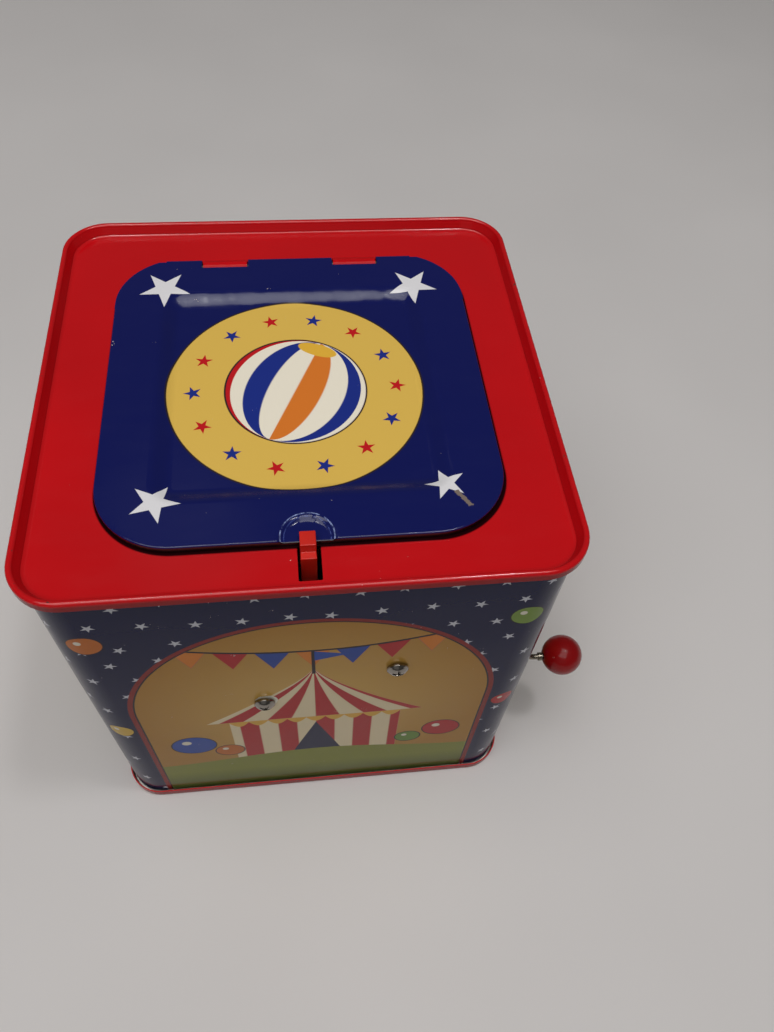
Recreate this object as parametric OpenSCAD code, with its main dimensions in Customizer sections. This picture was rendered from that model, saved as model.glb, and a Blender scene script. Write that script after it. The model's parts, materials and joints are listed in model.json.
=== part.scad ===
// Jack in the box: a lithographed tin box with a sprung puppet, a latched lid and a hand-cranked music movement.
// Millimetres. The origin is the centre of the standing rim, +Z up, +X to the crank side and -Y to the front.

/* [Box] */
// Width and depth over the top rim
box_w = 140; // [130:1:170]
// Height from the standing rim to the top of the rim bead
box_h = 146.4; // [138:0.2:170]
// Thickness of the tin plate
sheet_t = 0.4; // [0.3:0.05:0.5]
// Radius of the body's upright corners
body_r = 11; // [8:0.5:16]
// How far the top rim stands proud of the body
top_rim_out = 2.1; // [1.6:0.1:2.6]
// Width of the top rim bead
top_rim_w = 3; // [2.6:0.1:3.6]
// Height of the top rim bead on the outside
top_rim_h = 4.8; // [4.4:0.1:6]
// How far the red top panel lies below the rim's crest
top_floor_drop = 3.9; // [3.4:0.1:4.2]
// How far the standing rim stands proud of the body
foot_rim_out = 1.2; // [1:0.1:1.6]
// Width of the standing rim bead
foot_rim_w = 2.1; // [1.9:0.1:2.6]
// Height of the standing rim bead on the outside
foot_rim_h = 4; // [3.5:0.1:6]
// Height of the bottom panel's floor above the ground
foot_floor_h = 3; // [2.4:0.1:5]

/* [Mouth of the box] */
// How far the lid laps over the opening on each side
mouth_side_lap = 6.2; // [5.2:0.1:8]
// How far the lid laps over the opening at the front and the back
mouth_end_lap = 5.6; // [4.6:0.1:7.6]
// Corner radius of the opening
mouth_r = 15; // [10:1:20]
// Height of the stiffening lip round the opening
mouth_lip_h = 0.7; // [0.4:0.1:0.7]

/* [Lid] */
// Distance of the lid from the box's side
lid_side_in = 17.8; // [14:0.2:20]
// Distance of the lid's front edge from the box's front
lid_front_in = 14.4; // [13:0.2:16]
// Corner radius of the lid
lid_r = 20; // [15:0.5:24]
// Height of the lid's face above the top panel
lid_rise = 2.3; // [2.1:0.1:2.6]
// Radius of the rolled edge of the lid
lid_hem_r = 0.9; // [0.7:0.1:1.1]
// Height of the turned-down edge of the lid
lid_hem_h = 1.8; // [1.4:0.1:2]
// Distance of the sunk panel from the lid's side
recess_side_in = 14.2; // [11.2:0.2:19.2]
// Distance of the sunk panel from the lid's front edge and from the hinge axis
recess_end_in = 14.1; // [11.6:0.1:19.6]
// Corner radius of the sunk panel
recess_r = 7; // [5:0.5:10]
// Width of the sloping wall round the sunk panel
recess_slope = 3.5; // [2:0.1:4.5]
// Depth of the sunk panel
recess_depth = 2.2; // [1.2:0.1:3]
// Radius of the half-round dent under the latch
dent_r = 6.5; // [5:0.1:8]
// Depth of the half-round dent
dent_depth = 0.9; // [0.5:0.1:1.2]

/* [Hinge] */
// Distance of the hinge axis from the box's back
hinge_in = 20.4; // [19:0.1:22]
// Radius of the hinge pin
hinge_pin_r = 1.25; // [1:0.05:1.4]
// Running clearance of the curls on the pin
hinge_clearance = 0.05; // [0.02:0.01:0.1]
// Width of the lid's middle curl
mid_curl_w = 26.2; // [20:0.2:30]
// Width of each tab of the top panel
tab_w = 13.5; // [10:0.1:16]
// Width of each outer curl of the lid
end_curl_w = 10.3; // [8:0.1:11]
// Side gap between the curls
curl_gap = 0.35; // [0.3:0.05:0.8]

/* [Latch] */
// Place of the latch across the box
latch_x = 0.1; // [-1:0.1:1]
// Width of the latch lever
latch_w = 4; // [3:0.1:4.4]
// Thickness of the latch lever from front to back
latch_t = 3.8; // [3.2:0.1:4]
// Gap between the lid's front edge and the lever
latch_gap = 0.8; // [0.6:0.1:1.2]
// How far the nose reaches over the lid
nose_reach = 1.7; // [1:0.1:2.5]
// How far the nose stands above the lid's face
nose_rise = 1.6; // [1.2:0.1:2.4]
// Depth of the step in front of the nose
nose_step = 2; // [1.5:0.1:2.4]
// How far the step lies below the lid's face
step_drop = 1.3; // [1:0.1:1.8]
// Clear height between the nose and the dent
nose_clearance = 0.4; // [0.3:0.05:0.8]
// Swing of the latch lever in degrees
latch_swing = 4; // [2.5:0.1:4.2]
// Height of the lever's pivot above the ground
latch_pivot_z = 72; // [66:0.5:78]
// Radius of the lever's pivot pin
latch_pin_r = 1; // [0.8:0.05:1.2]
// Width of the slot in the top panel
slot_w = 5.8; // [5:0.1:8]
// Place of the slot across the box
slot_x = 0.3; // [-1:0.1:1]
// Free length of the slot ahead of the released lever
slot_clearance = 0.6; // [0.4:0.1:0.8]

/* [Crank] */
// Distance of the crank shaft behind the body's front
crank_in = 22.5; // [21.4:0.1:23.4]
// Height of the crank shaft above the ground
crank_z = 74.6; // [72:0.2:78]
// Radius of the crank wire
crank_r = 1; // [0.9:0.05:1.2]
// Running clearance of every turning shaft
shaft_clearance = 0.05; // [0.02:0.01:0.1]
// Length of the crank arm
crank_arm = 30; // [24:0.5:36]
// Radius of the bends in the crank wire
crank_bend = 4; // [3:0.5:6]
// Distance of the crank arm from the body's side
crank_standoff = 7.6; // [6:0.2:12]
// Radius of the crank knob
knob_r = 7.2; // [6:0.1:9]
// Free length of wire between the arm and the knob
knob_gap = 6.6; // [6:0.2:12]
// Depth of the wire in the knob
knob_grip = 9; // [6:0.5:10]

/* [Music movement] */
// Gear module
gear_module = 0.5; // [0.48:0.01:0.52]
// Teeth on the crank's pinion
pinion_teeth = 12; // [11:1:13]
// Teeth on the drum's gear
gear_teeth = 72; // [70:1:74]
// Face width of the gears
gear_w = 4; // [3:0.5:5]
// Play between the teeth at the pitch circle
gear_play = 0.12; // [0.08:0.01:0.2]
// Radius of the music drum
drum_r = 12.5; // [11:0.1:12.7]
// Length of the music drum
drum_w = 27; // [22:0.5:27]
// Radius of the drum's axle
axle_r = 1.5; // [1.2:0.1:2]
// Thickness of the movement frame
frame_t = 2; // [1.6:0.1:2.2]
// Thickness of the frame's end plates
end_plate_t = 2.5; // [2:0.1:3]
// Height of the screw pads that stand the frame off the wall
frame_standoff = 0.8; // [0.5:0.1:1]
// Distance between the comb's teeth
comb_pitch = 1.8; // [1.6:0.05:2]
// Teeth on the comb
comb_teeth = 14; // [10:1:14]
// Thickness of the comb
comb_t = 0.8; // [0.5:0.1:1]
// Width of the release cam
cam_w = 5; // [4:0.1:5]
// Lift of the release cam's lobe
cam_lift = 1.9; // [1.2:0.1:2.2]

/* [Puppet] */
// Radius of the plywood base disc
base_r = 27; // [24:0.5:28]
// Thickness of the plywood base disc
base_t = 4; // [3:0.5:6]
// Coil radius of the puppet's spring
spring_r = 21.5; // [18:0.5:22]
// Radius of the spring wire
spring_wire_r = 0.8; // [0.6:0.1:1]
// Coils in the spring
spring_turns = 8; // [6:1:9]
// Thickness of the disc on top of the spring
top_disc_t = 3; // [2:0.5:4]
// Height of the shoulders above the spring's top disc
shoulder_h = 21; // [18:0.5:24]
// Radius of the neck dowel
neck_r = 4; // [3:0.5:5]
// Radius of the puppet's head
head_r = 17; // [15:0.5:18]
// Height of the hat above the head's centre
hat_h = 29; // [26:0.5:32]
// Radius of the hat at its band
hat_r = 14.5; // [12:0.5:15]
// Radius of the pom-poms
pompom_r = 3.8; // [3:0.1:4.5]
// Radius of the pleated collar
ruff_r = 25; // [22:0.5:27]
// Pleats in the collar
ruff_pleats = 20; // [14:1:24]
// Room between the hat and the closed lid
headroom = 4; // [3.4:0.1:6]

/* [Hidden] */
$fn = 64;

// Clearance of parts that are pressed, sewn or seated together
seat_clearance = 0.02;
// Overlap of a cutting tool past the face it cuts
past = 1;

// Box
body_half = box_w / 2 - top_rim_out;
wall_in = body_half - sheet_t;
top_floor_z = box_h - top_floor_drop;
body_top_z = box_h - top_rim_w / 2;
body_foot_z = foot_rim_w / 2;
// How much of the standing rim's crest is pressed flat
foot_flat = 0.1;

// Lid and hinge
lid_top_z = top_floor_z + lid_rise;
hinge_y = box_w / 2 - hinge_in;
lid_front_y = lid_front_in - box_w / 2;
lid_w = box_w - 2 * lid_side_in;
lid_len = hinge_y - lid_front_y;
mouth_w = lid_w - 2 * mouth_side_lap;
mouth_d = lid_len - 2 * mouth_end_lap;
recess_w = lid_w - 2 * recess_side_in;
recess_d = lid_len - 2 * recess_end_in;
lid_mid_y = (hinge_y + lid_front_y) / 2;
curl_in_r = hinge_pin_r + hinge_clearance;
curl_r = curl_in_r + sheet_t;
hinge_z = lid_top_z - curl_r;
tab_x = mid_curl_w / 2 + curl_gap;
end_curl_x = tab_x + tab_w + curl_gap;
recess_under_z = lid_top_z - recess_depth - sheet_t;
pin_half = end_curl_x + end_curl_w + 0.6;
curl_room = 0.4;
arc_lap = 2;
lid_curl_end = -190;
tab_curl_end = 310;
tab_slope = 60;
tab_foot = 0.6;
tab_foot_y = hinge_y + (curl_r + (hinge_z - top_floor_z) * sin(tab_slope)) / cos(tab_slope);

// Latch
latch_back_y = lid_front_y - latch_gap;
latch_front_y = latch_back_y - latch_t;
latch_pivot_y = latch_back_y - latch_t / 2;
latch_boss_r = 3.2;
nose_top_z = lid_top_z + nose_rise;
nose_under_z = lid_top_z - dent_depth + nose_clearance;
step_z = lid_top_z - step_drop;
slot_front_y = latch_front_y - (top_floor_z - latch_pivot_z) * sin(latch_swing) - slot_clearance;

// Gears and drum
pressure_angle = 25;
addendum = 0.9;
dedendum = 1.2;
crank_y = body_half - crank_in;
pinion_pitch_r = gear_module * pinion_teeth / 2;
gear_pitch_r = gear_module * gear_teeth / 2;
drum_z = crank_z + pinion_pitch_r + gear_pitch_r;

// Movement frame, from its front face back and from the latch to the right
frame_front_y = -wall_in + frame_standoff;
frame_back_y = frame_front_y + frame_t;
ear_t = 2;
ear_gap = 0.3;
cam_x = latch_x - cam_w / 2;
end_gap = 0.9;
cam_gap = 1.4;
plate_gap = 2;
left_plate_x = cam_x - end_gap - end_plate_t;
drum_x = cam_x + cam_w + cam_gap;
gear_x = drum_x + drum_w + end_gap;
right_plate_x = gear_x + gear_w + plate_gap;
frame_right_x = right_plate_x + end_plate_t;
frame_left_x = -22;
frame_below_pivot = 10;
frame_over_drum = 26.4;
frame_low_z = latch_pivot_z - frame_below_pivot;
frame_high_z = drum_z + frame_over_drum;
plate_nose_r = 6.4;
plate_back_y = -crank_y + plate_nose_r;
plate_under_drum = 9;
plate_under_crank = 6;
screw_spots = [[-15, 76.8], [23.9, 94.4]];
screw_r = 1.25;
screw_len = 6;
screw_head_r = 3.1;
screw_head_h = 2.2;
screw_pad_r = 4;
screw_boss_r = 2.85;
screw_boss_h = 3;
pin_r = 0.4;
pin_h = 0.7;
comb_gap = 0.35;
comb_tip_over = 1.4;
comb_tooth_len = 15.1;
comb_back_y = -crank_y - drum_r - pin_h - comb_gap;
comb_low_z = drum_z + comb_tip_over;
comb_clamp_z = comb_low_z + comb_tooth_len;
bridge_side = 2;
comb_w = comb_teeth * comb_pitch;
comb_x = drum_x + (drum_w - comb_w) / 2;
comb_slit = 0.45;
comb_screw_r = 1;
comb_screw_in = 4;
comb_screw_z = comb_clamp_z + comb_screw_in;
comb_screw_head_r = 2;
comb_screw_head_h = 1;
comb_screw_grip = 3;
cam_base_r = -crank_y - latch_back_y - ear_gap;
cam_lobe_half = 16;
return_spring_over = 12;
return_spring_z = latch_pivot_z + return_spring_over;
return_spring_r = 1.6;
return_wire_r = 0.3;
spring_seat_h = 1;
spring_seat_r = 1.1;

// Crank
crank_arm_x = body_half + crank_standoff;
handle_z = crank_z - crank_arm;
knob_x = crank_arm_x + knob_gap + knob_r;
crank_end_x = gear_x - 1;
collar_r = 1.5;
collar_w = 1.2;
eyelet_r = crank_r + 1.5;
eyelet_flange_r = crank_r + 3;
eyelet_flange_t = 0.6;

// Puppet, stacked down from the closed lid
puppet_top_z = recess_under_z - headroom;
pompom_z = puppet_top_z - pompom_r;
head_z = pompom_z - hat_h;
neck_z = head_z - head_r;
ruff_t = 4.5;
shoulder_z = neck_z - ruff_t - 1;
spring_top_z = shoulder_z - shoulder_h - top_disc_t;
base_top_z = foot_floor_h + base_t;
spring_low_z = base_top_z + spring_wire_r + seat_clearance;
spring_high_z = spring_top_z - spring_wire_r - seat_clearance;
top_disc_r = spring_r + 2;
coil_gap = 0.15;
staple_turns = [90, 180, 270];
staple_r = 0.4;
staple_depth = 1.5;
staple_legs = [spring_r - spring_wire_r - staple_r - coil_gap, spring_r + spring_wire_r + staple_r + coil_gap];
rivet_r = 1.2;
rivet_out = 16;
rivet_turns = [30, 150, 270];
rivet_head_r = 2.4;
rivet_head_t = 0.8;
robe_t = 1.2;
robe_gap = 0.4;
robe_folds = 6;
robe_wave = 0.8;
robe_neck_r = 9;
robe_hem_z = foot_floor_h + 0.4;
robe_waist_z = spring_top_z + top_disc_t + 1.5;
sleeve_r = 5;
elbow_r = 5.4;
sleeve_root_x = 12;
sleeve_root_drop = 7;
elbow_x = 33.5;
elbow_drop = 15;
cuff_x = 36;
cuff_drop = 28;
hand_gap = 0.3;
sleeve_root = [sleeve_root_x, 0, shoulder_z - sleeve_root_drop];
sleeve_elbow = [elbow_x, 0, shoulder_z - elbow_drop];
sleeve_cuff = [cuff_x, 0, shoulder_z - cuff_drop];
nose_r = 2.8;
nose_peg_r = 1;
nose_peg_len = 4;
palm_r = 4.2;
palm_len = 4.5;
thumb_r = 1.8;

// A rectangle with round corners, centred
module round_rect(w, d, r) {
    square([w, d - 2 * r], center = true);
    square([w - 2 * r, d], center = true);
    for (x = [-1, 1], y = [-1, 1]) translate([x * (w / 2 - r), y * (d / 2 - r)]) circle(r = r);
}

// Sweeps a profile (outwards, up) round a square path with round corners
module sweep_round_rect(half_x, half_y, r, sides = [0, 1, 2, 3], corners = [0, 1, 2, 3]) {
    for (side = [0:3]) {
        near = side % 2 == 0 ? half_x : half_y;
        along = side % 2 == 0 ? half_y : half_x;
        rotate([0, 0, 90 * side]) {
            if (len(search(side, sides)) > 0)
                translate([near, 0, 0]) rotate([90, 0, 0])
                    linear_extrude(height = 2 * (along - r), center = true) children();
            if (len(search(side, corners)) > 0)
                translate([near - r, along - r, 0]) rotate_extrude(angle = 90) translate([r, 0]) children();
        }
    }
}

// Extrudes a profile drawn in Y and Z along X
module along_x(x, w) {
    translate([x, 0, 0]) rotate([90, 0, 90]) linear_extrude(height = w) children();
}

// A cylinder along X
module rod_x(x, w, y, z, r) {
    translate([x, y, z]) rotate([0, 90, 0]) cylinder(r = r, h = w);
}

// A cylinder along Y
module rod_y(y, w, x, z, r) {
    translate([x, y, z]) rotate([-90, 0, 0]) cylinder(r = r, h = w);
}

// Part of a flat ring between two angles, less than half a turn
module ring_arc(r_in, r_out, from, to) {
    reach = 2 * r_out;
    middle = (from + to) / 2;
    intersection() {
        difference() {
            circle(r = r_out);
            circle(r = r_in);
        }
        polygon([[0, 0], reach * [cos(from), sin(from)], reach * [cos(middle), sin(middle)],
                 reach * [cos(to), sin(to)]]);
    }
}

// A flat ring between any two angles, in pieces that lap on each other
module ring_sweep(r_in, r_out, from, to) {
    pieces = ceil((to - from) / 100);
    step = (to - from) / pieces;
    for (k = [0:pieces - 1])
        ring_arc(r_in, r_out, from + k * step - (k > 0 ? arc_lap : 0), from + (k + 1) * step);
}

// The hollow bead of a rolled rim: a U of sheet, crest up, with its outer leg turned in under the body's edge
module rim_bead(out, w, crest, foot, inner_foot) {
    r = w / 2;
    mid = out - r;
    translate([mid, crest - r]) ring_sweep(r - sheet_t, r, 0, 180);
    translate([out - sheet_t, foot]) square([sheet_t, crest - r - foot]);
    translate([out - w, inner_foot]) square([sheet_t, crest - r - inner_foot]);
    translate([seat_clearance, foot]) square([out - seat_clearance, sheet_t]);
}

module body_shell() {
    color("#1a2152")
    difference() {
        translate([0, 0, body_foot_z]) linear_extrude(height = body_top_z - body_foot_z) difference() {
            round_rect(2 * body_half, 2 * body_half, body_r);
            round_rect(2 * wall_in, 2 * wall_in, body_r - sheet_t);
        }
        for (spot = screw_spots) rod_y(-body_half - past, sheet_t + 2 * past, spot[0], spot[1], screw_r + 0.2);
        rod_x(wall_in - past, sheet_t + 2 * past, -crank_y, crank_z, eyelet_r + seat_clearance);
    }
}

// One tab of the top panel, rolled forward over the hinge pin
module panel_tab(x) {
    along_x(x, tab_w) {
        translate([hinge_y, hinge_z]) ring_sweep(curl_in_r, curl_r, tab_slope - arc_lap, tab_curl_end);
        polygon([[hinge_y + curl_r * cos(tab_slope), hinge_z + curl_r * sin(tab_slope)],
                 [hinge_y + curl_in_r * cos(tab_slope), hinge_z + curl_in_r * sin(tab_slope)],
                 [tab_foot_y - sheet_t, top_floor_z - sheet_t], [tab_foot_y + tab_foot, top_floor_z - sheet_t],
                 [tab_foot_y + tab_foot, top_floor_z], [tab_foot_y, top_floor_z]]);
    }
}

module top_panel() {
    floor_low_z = top_floor_z - sheet_t;
    mouth_back_y = lid_mid_y + mouth_d / 2;
    color("#b5141b") {
        sweep_round_rect(body_half, body_half, body_r)
            rim_bead(top_rim_out, top_rim_w, box_h, box_h - top_rim_h, floor_low_z);
        difference() {
            union() {
                translate([0, 0, floor_low_z]) linear_extrude(height = sheet_t)
                    round_rect(2 * (body_half + top_rim_out - top_rim_w) + sheet_t,
                               2 * (body_half + top_rim_out - top_rim_w) + sheet_t, body_r - sheet_t);
                translate([0, lid_mid_y, floor_low_z]) linear_extrude(height = mouth_lip_h + sheet_t)
                    round_rect(mouth_w + 2 * sheet_t, mouth_d + 2 * sheet_t, mouth_r + sheet_t);
            }
            translate([0, lid_mid_y, floor_low_z - past]) linear_extrude(height = mouth_lip_h + 3 * past)
                round_rect(mouth_w, mouth_d, mouth_r);
            translate([slot_x - slot_w / 2, slot_front_y, floor_low_z - past])
                cube([slot_w, latch_back_y + 0.5 - slot_front_y, 3 * past]);
            translate([-pin_half - curl_gap, mouth_back_y - past, floor_low_z - past])
                cube([2 * (pin_half + curl_gap), hinge_y + curl_r + curl_room - mouth_back_y + past, 4 * past]);
            for (x = [-tab_x - tab_w, tab_x]) translate([x, mouth_back_y, floor_low_z - past])
                cube([tab_w, tab_foot_y - mouth_back_y, 4 * past]);
        }
        for (x = [-tab_x - tab_w, tab_x]) panel_tab(x);
    }
}

module bottom_panel() {
    color("#a5131a") {
        difference() {
            mirror([0, 0, 1]) sweep_round_rect(body_half, body_half, body_r)
                rim_bead(foot_rim_out, foot_rim_w, foot_flat, -foot_rim_h, -foot_floor_h);
            translate([-box_w, -box_w, -2 * foot_flat]) cube([2 * box_w, 2 * box_w, 2 * foot_flat]);
        }
        difference() {
            translate([0, 0, foot_floor_h - sheet_t]) linear_extrude(height = sheet_t)
                round_rect(2 * (body_half + foot_rim_out - foot_rim_w) + sheet_t,
                           2 * (body_half + foot_rim_out - foot_rim_w) + sheet_t, body_r - sheet_t);
            for (turn = rivet_turns) rotate([0, 0, turn]) translate([rivet_out, 0, 0])
                cylinder(r = rivet_r + seat_clearance, h = foot_floor_h + past);
        }
    }
}

// The edge of the lid, rolled over and turned down
module lid_edge() {
    translate([-lid_hem_r, lid_top_z - lid_hem_r]) ring_arc(lid_hem_r - sheet_t, lid_hem_r, 0, 90);
    translate([-sheet_t, lid_top_z - lid_hem_h]) square([sheet_t, lid_hem_h - lid_hem_r]);
}

// One of the lid's curls, rolled back and under round the hinge pin
module lid_curl(x, w) {
    along_x(x, w) translate([hinge_y, hinge_z]) ring_sweep(curl_in_r, curl_r, lid_curl_end, 90 + arc_lap);
}

// The lid's flat face, with the hole that the sunk panel fills; its rear corners reach to the outer curls
module lid_face() {
    half_w = lid_w / 2;
    half_d = lid_len / 2;
    difference() {
        union() {
            round_rect(lid_w - 2 * lid_hem_r, lid_len - 2 * lid_hem_r, lid_r - lid_hem_r);
            intersection() {
                round_rect(lid_w, lid_len + 2 * curl_r, lid_r);
                translate([-half_w, half_d - lid_r]) square([lid_w, lid_r]);
            }
        }
        round_rect(recess_w, recess_d, recess_r);
    }
}

module lid() {
    half_w = lid_w / 2;
    half_d = lid_len / 2;
    face_low_z = lid_top_z - sheet_t;
    dent_z = lid_top_z - dent_depth;
    color("#131c66") {
        difference() {
            union() {
                // The rolled edge runs along the front and both sides, and stops ahead of the bare rear corners
                translate([0, lid_mid_y, 0]) {
                    sweep_round_rect(half_w, half_d, lid_r, [3], [2, 3]) lid_edge();
                    for (turn = [0, 180]) rotate([0, 0, turn]) translate([half_w, 0, 0]) rotate([90, 0, 0])
                        linear_extrude(height = 2 * (half_d - lid_r), center = true) lid_edge();
                }
                translate([0, lid_mid_y, face_low_z]) linear_extrude(height = sheet_t) lid_face();
            }
            translate([latch_x, lid_front_y, dent_z]) cylinder(r = dent_r, h = dent_depth + past);
            for (x = [-tab_x - tab_w - curl_gap, tab_x - curl_gap])
                translate([x, hinge_y - curl_r - curl_gap, face_low_z - past])
                    cube([tab_w + 2 * curl_gap, 2 * curl_r, 3 * past]);
        }
        // The sunk panel and its sloping wall
        translate([0, lid_mid_y, 0]) {
            sweep_round_rect(recess_w / 2, recess_d / 2, recess_r)
                polygon([[0, lid_top_z], [0, face_low_z], [-recess_slope, face_low_z - recess_depth],
                         [-recess_slope, lid_top_z - recess_depth]]);
            translate([0, 0, recess_under_z]) linear_extrude(height = sheet_t)
                round_rect(recess_w - 2 * recess_slope, recess_d - 2 * recess_slope, recess_r - recess_slope);
        }
        // The half-round dent where the latch bears
        intersection() {
            translate([latch_x, lid_front_y, dent_z - sheet_t]) difference() {
                cylinder(r = dent_r + sheet_t, h = dent_depth + sheet_t);
                translate([0, 0, sheet_t]) cylinder(r = dent_r, h = dent_depth + past);
            }
            translate([latch_x - 2 * dent_r, lid_front_y, dent_z - past]) cube([4 * dent_r, 2 * dent_r, 3 * past]);
        }
        lid_curl(-mid_curl_w / 2, mid_curl_w);
        lid_curl(-end_curl_x - end_curl_w, end_curl_w);
        lid_curl(end_curl_x, end_curl_w);
    }
}

module hinge_pin() {
    color("silver") rod_x(-pin_half, 2 * pin_half, hinge_y, hinge_z, hinge_pin_r);
}

// The latch lever: a moulded hook with a step in front of its nose and a boss round its pivot
module latch_lever() {
    nose_tip_y = lid_front_y + nose_reach;
    nose_front_y = latch_front_y + nose_step;
    color("#c2311f") difference() {
        union() {
            along_x(latch_x - latch_w / 2, latch_w) {
                translate([latch_pivot_y, latch_pivot_z]) circle(r = latch_boss_r);
                translate([latch_front_y, latch_pivot_z]) square([latch_t, step_z - latch_pivot_z]);
                polygon([[nose_front_y, step_z - past], [latch_back_y, step_z - past], [latch_back_y, nose_under_z],
                         [nose_tip_y, nose_under_z], [nose_tip_y, nose_top_z], [nose_front_y, nose_top_z]]);
            }
            rod_y(latch_front_y - spring_seat_h / 2, spring_seat_h, latch_x, return_spring_z, spring_seat_r);
        }
        rod_x(latch_x - latch_w, 2 * latch_w, latch_pivot_y, latch_pivot_z, latch_pin_r + shaft_clearance);
    }
}

module latch_pivot_pin() {
    pin_len = latch_w + 2 * (ear_gap + ear_t) + 1;
    color("silver") rod_x(latch_x - pin_len / 2, pin_len, latch_pivot_y, latch_pivot_z, latch_pin_r);
}

// Height of a coil's wire after some turns: the first and the last turn lie closed on their neighbours
function coil_height(turns, wire_r, low, high, done) =
    let (closed = 2 * wire_r + coil_gap)
    done < 1 ? low + closed * done
    : done > turns - 1 ? high - closed * (turns - done)
    : low + closed + (high - low - 2 * closed) * (done - 1) / (turns - 2);

// One ring of points round the wire of a coil about Z
function coil_ring(turns, coil_r, wire_r, low, high, share, sides) =
    let (turn = 360 * turns * share, mid = coil_height(turns, wire_r, low, high, turns * share))
    [for (k = [0:sides - 1]) let (a = 360 * k / sides, out = coil_r + wire_r * cos(a))
        [out * cos(turn), out * sin(turn), mid + wire_r * sin(a)]];

// A coil spring about Z
module coil(turns, coil_r, wire_r, low, high, steps, sides) {
    count = turns * steps;
    points = [for (i = [0:count]) each coil_ring(turns, coil_r, wire_r, low, high, i / count, sides)];
    walls = [for (i = [0:count - 1], k = [0:sides - 1]) let (a = i * sides + k, b = i * sides + (k + 1) % sides)
        each [[a, b, b + sides], [a, b + sides, a + sides]]];
    start = [for (k = [sides - 1:-1:0]) k];
    finish = [for (k = [0:sides - 1]) count * sides + k];
    polyhedron(points = points, faces = concat(walls, [start, finish]));
}

module latch_spring() {
    color("silver") translate([latch_x, 0, return_spring_z]) rotate([-90, 0, 0])
        coil(4, return_spring_r, return_wire_r, frame_back_y + return_wire_r + seat_clearance,
             latch_front_y - return_wire_r - seat_clearance, 12, 6);
}

// The moulded frame of the music movement: base plate, end plates, pivot ears and the comb's bridge
module movement_frame() {
    color("#e9e6da") difference() {
        union() {
            translate([frame_left_x, frame_front_y, frame_low_z])
                cube([frame_right_x - frame_left_x, frame_t, frame_high_z - frame_low_z]);
            for (spot = screw_spots) {
                rod_y(-wall_in, frame_standoff + past / 2, spot[0], spot[1], screw_pad_r);
                rod_y(frame_back_y - past, screw_boss_h + past, spot[0], spot[1], screw_boss_r);
            }
            end_plate(left_plate_x, drum_z - plate_under_drum);
            end_plate(right_plate_x, crank_z - plate_under_crank);
            for (x = [latch_x - latch_w / 2 - ear_gap - ear_t, latch_x + latch_w / 2 + ear_gap])
                along_x(x, ear_t) {
                    translate([latch_pivot_y, latch_pivot_z]) circle(r = latch_boss_r);
                    translate([frame_back_y - past, latch_pivot_z - latch_boss_r])
                        square([latch_pivot_y - frame_back_y + past, 2 * latch_boss_r]);
                }
            translate([comb_x - bridge_side, frame_back_y - past, comb_clamp_z])
                cube([comb_w + 2 * bridge_side, comb_back_y - comb_t - frame_back_y + past,
                      frame_high_z - comb_clamp_z]);
            rod_y(frame_back_y - past, past + spring_seat_h, latch_x, return_spring_z, spring_seat_r);
        }
        for (spot = screw_spots)
            rod_y(-wall_in - past, screw_len + past, spot[0], spot[1], screw_r + seat_clearance);
        for (spot = comb_screw_spots())
            rod_y(frame_back_y, comb_back_y - frame_back_y, spot, comb_screw_z, comb_screw_r + seat_clearance);
        rod_x(left_plate_x - past, frame_right_x - left_plate_x + 2 * past, -crank_y, drum_z,
              axle_r + shaft_clearance);
        rod_x(right_plate_x - past, end_plate_t + 2 * past, -crank_y, crank_z, crank_r + shaft_clearance);
        rod_x(latch_x - 2 * latch_w, 4 * latch_w, latch_pivot_y, latch_pivot_z, latch_pin_r + seat_clearance);
    }
}

// Where the comb's two screws stand across the box
function comb_screw_spots() = [comb_x + comb_screw_in, comb_x + comb_w - comb_screw_in];

// An end plate of the movement frame, with a round nose over the drum's axle
module end_plate(x, low) {
    along_x(x, end_plate_t) {
        translate([frame_back_y - past, low]) square([plate_back_y - frame_back_y + past, drum_z - low]);
        translate([frame_back_y - past, low])
            square([-crank_y - frame_back_y + past, drum_z + plate_nose_r - low]);
        translate([-crank_y, drum_z]) circle(r = plate_nose_r);
    }
}

// A pan-head screw with a cross recess, along +Y from the underside of its head
module pan_screw(x, y, z, r, len, head_r, head_h) {
    dome_r = (head_r * head_r + head_h * head_h) / (2 * head_h) + 1;
    translate([x, y, z]) rotate([-90, 0, 0]) {
        cylinder(r = r, h = len);
        difference() {
            intersection() {
                translate([0, 0, -head_h]) cylinder(r = head_r, h = head_h);
                translate([0, 0, dome_r - head_h]) sphere(r = dome_r);
            }
            for (turn = [0, 90]) rotate([0, 0, turn])
                translate([-head_r * 0.5, -head_r * 0.11, -head_h - past])
                    cube([head_r, head_r * 0.22, past + head_h * 0.55]);
        }
    }
}

module frame_screws() {
    color("#c9ccd0") for (spot = screw_spots)
        pan_screw(spot[0], -body_half, spot[1], screw_r, screw_len + sheet_t - 0.5, screw_head_r, screw_head_h);
}

// The crank: one wire bent twice, with a swaged collar ahead of the knob
module crank_wire() {
    color("#c9ccd0") {
        rod_x(crank_end_x, crank_arm_x - crank_bend - crank_end_x, -crank_y, crank_z, crank_r);
        translate([crank_arm_x - crank_bend, -crank_y, crank_z - crank_bend]) rotate([90, 0, 0])
            rotate_extrude(angle = 90) translate([crank_bend, 0]) circle(r = crank_r);
        translate([crank_arm_x, -crank_y, handle_z + crank_bend])
            cylinder(r = crank_r, h = crank_arm - 2 * crank_bend);
        translate([crank_arm_x + crank_bend, -crank_y, handle_z + crank_bend]) rotate([90, 180, 0])
            rotate_extrude(angle = 90) translate([crank_bend, 0]) circle(r = crank_r);
        rod_x(crank_arm_x + crank_bend, knob_gap + knob_grip - crank_bend, -crank_y, handle_z, crank_r);
        rod_x(crank_arm_x + knob_gap - collar_w - ear_gap, collar_w, -crank_y, handle_z, collar_r);
    }
}

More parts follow.
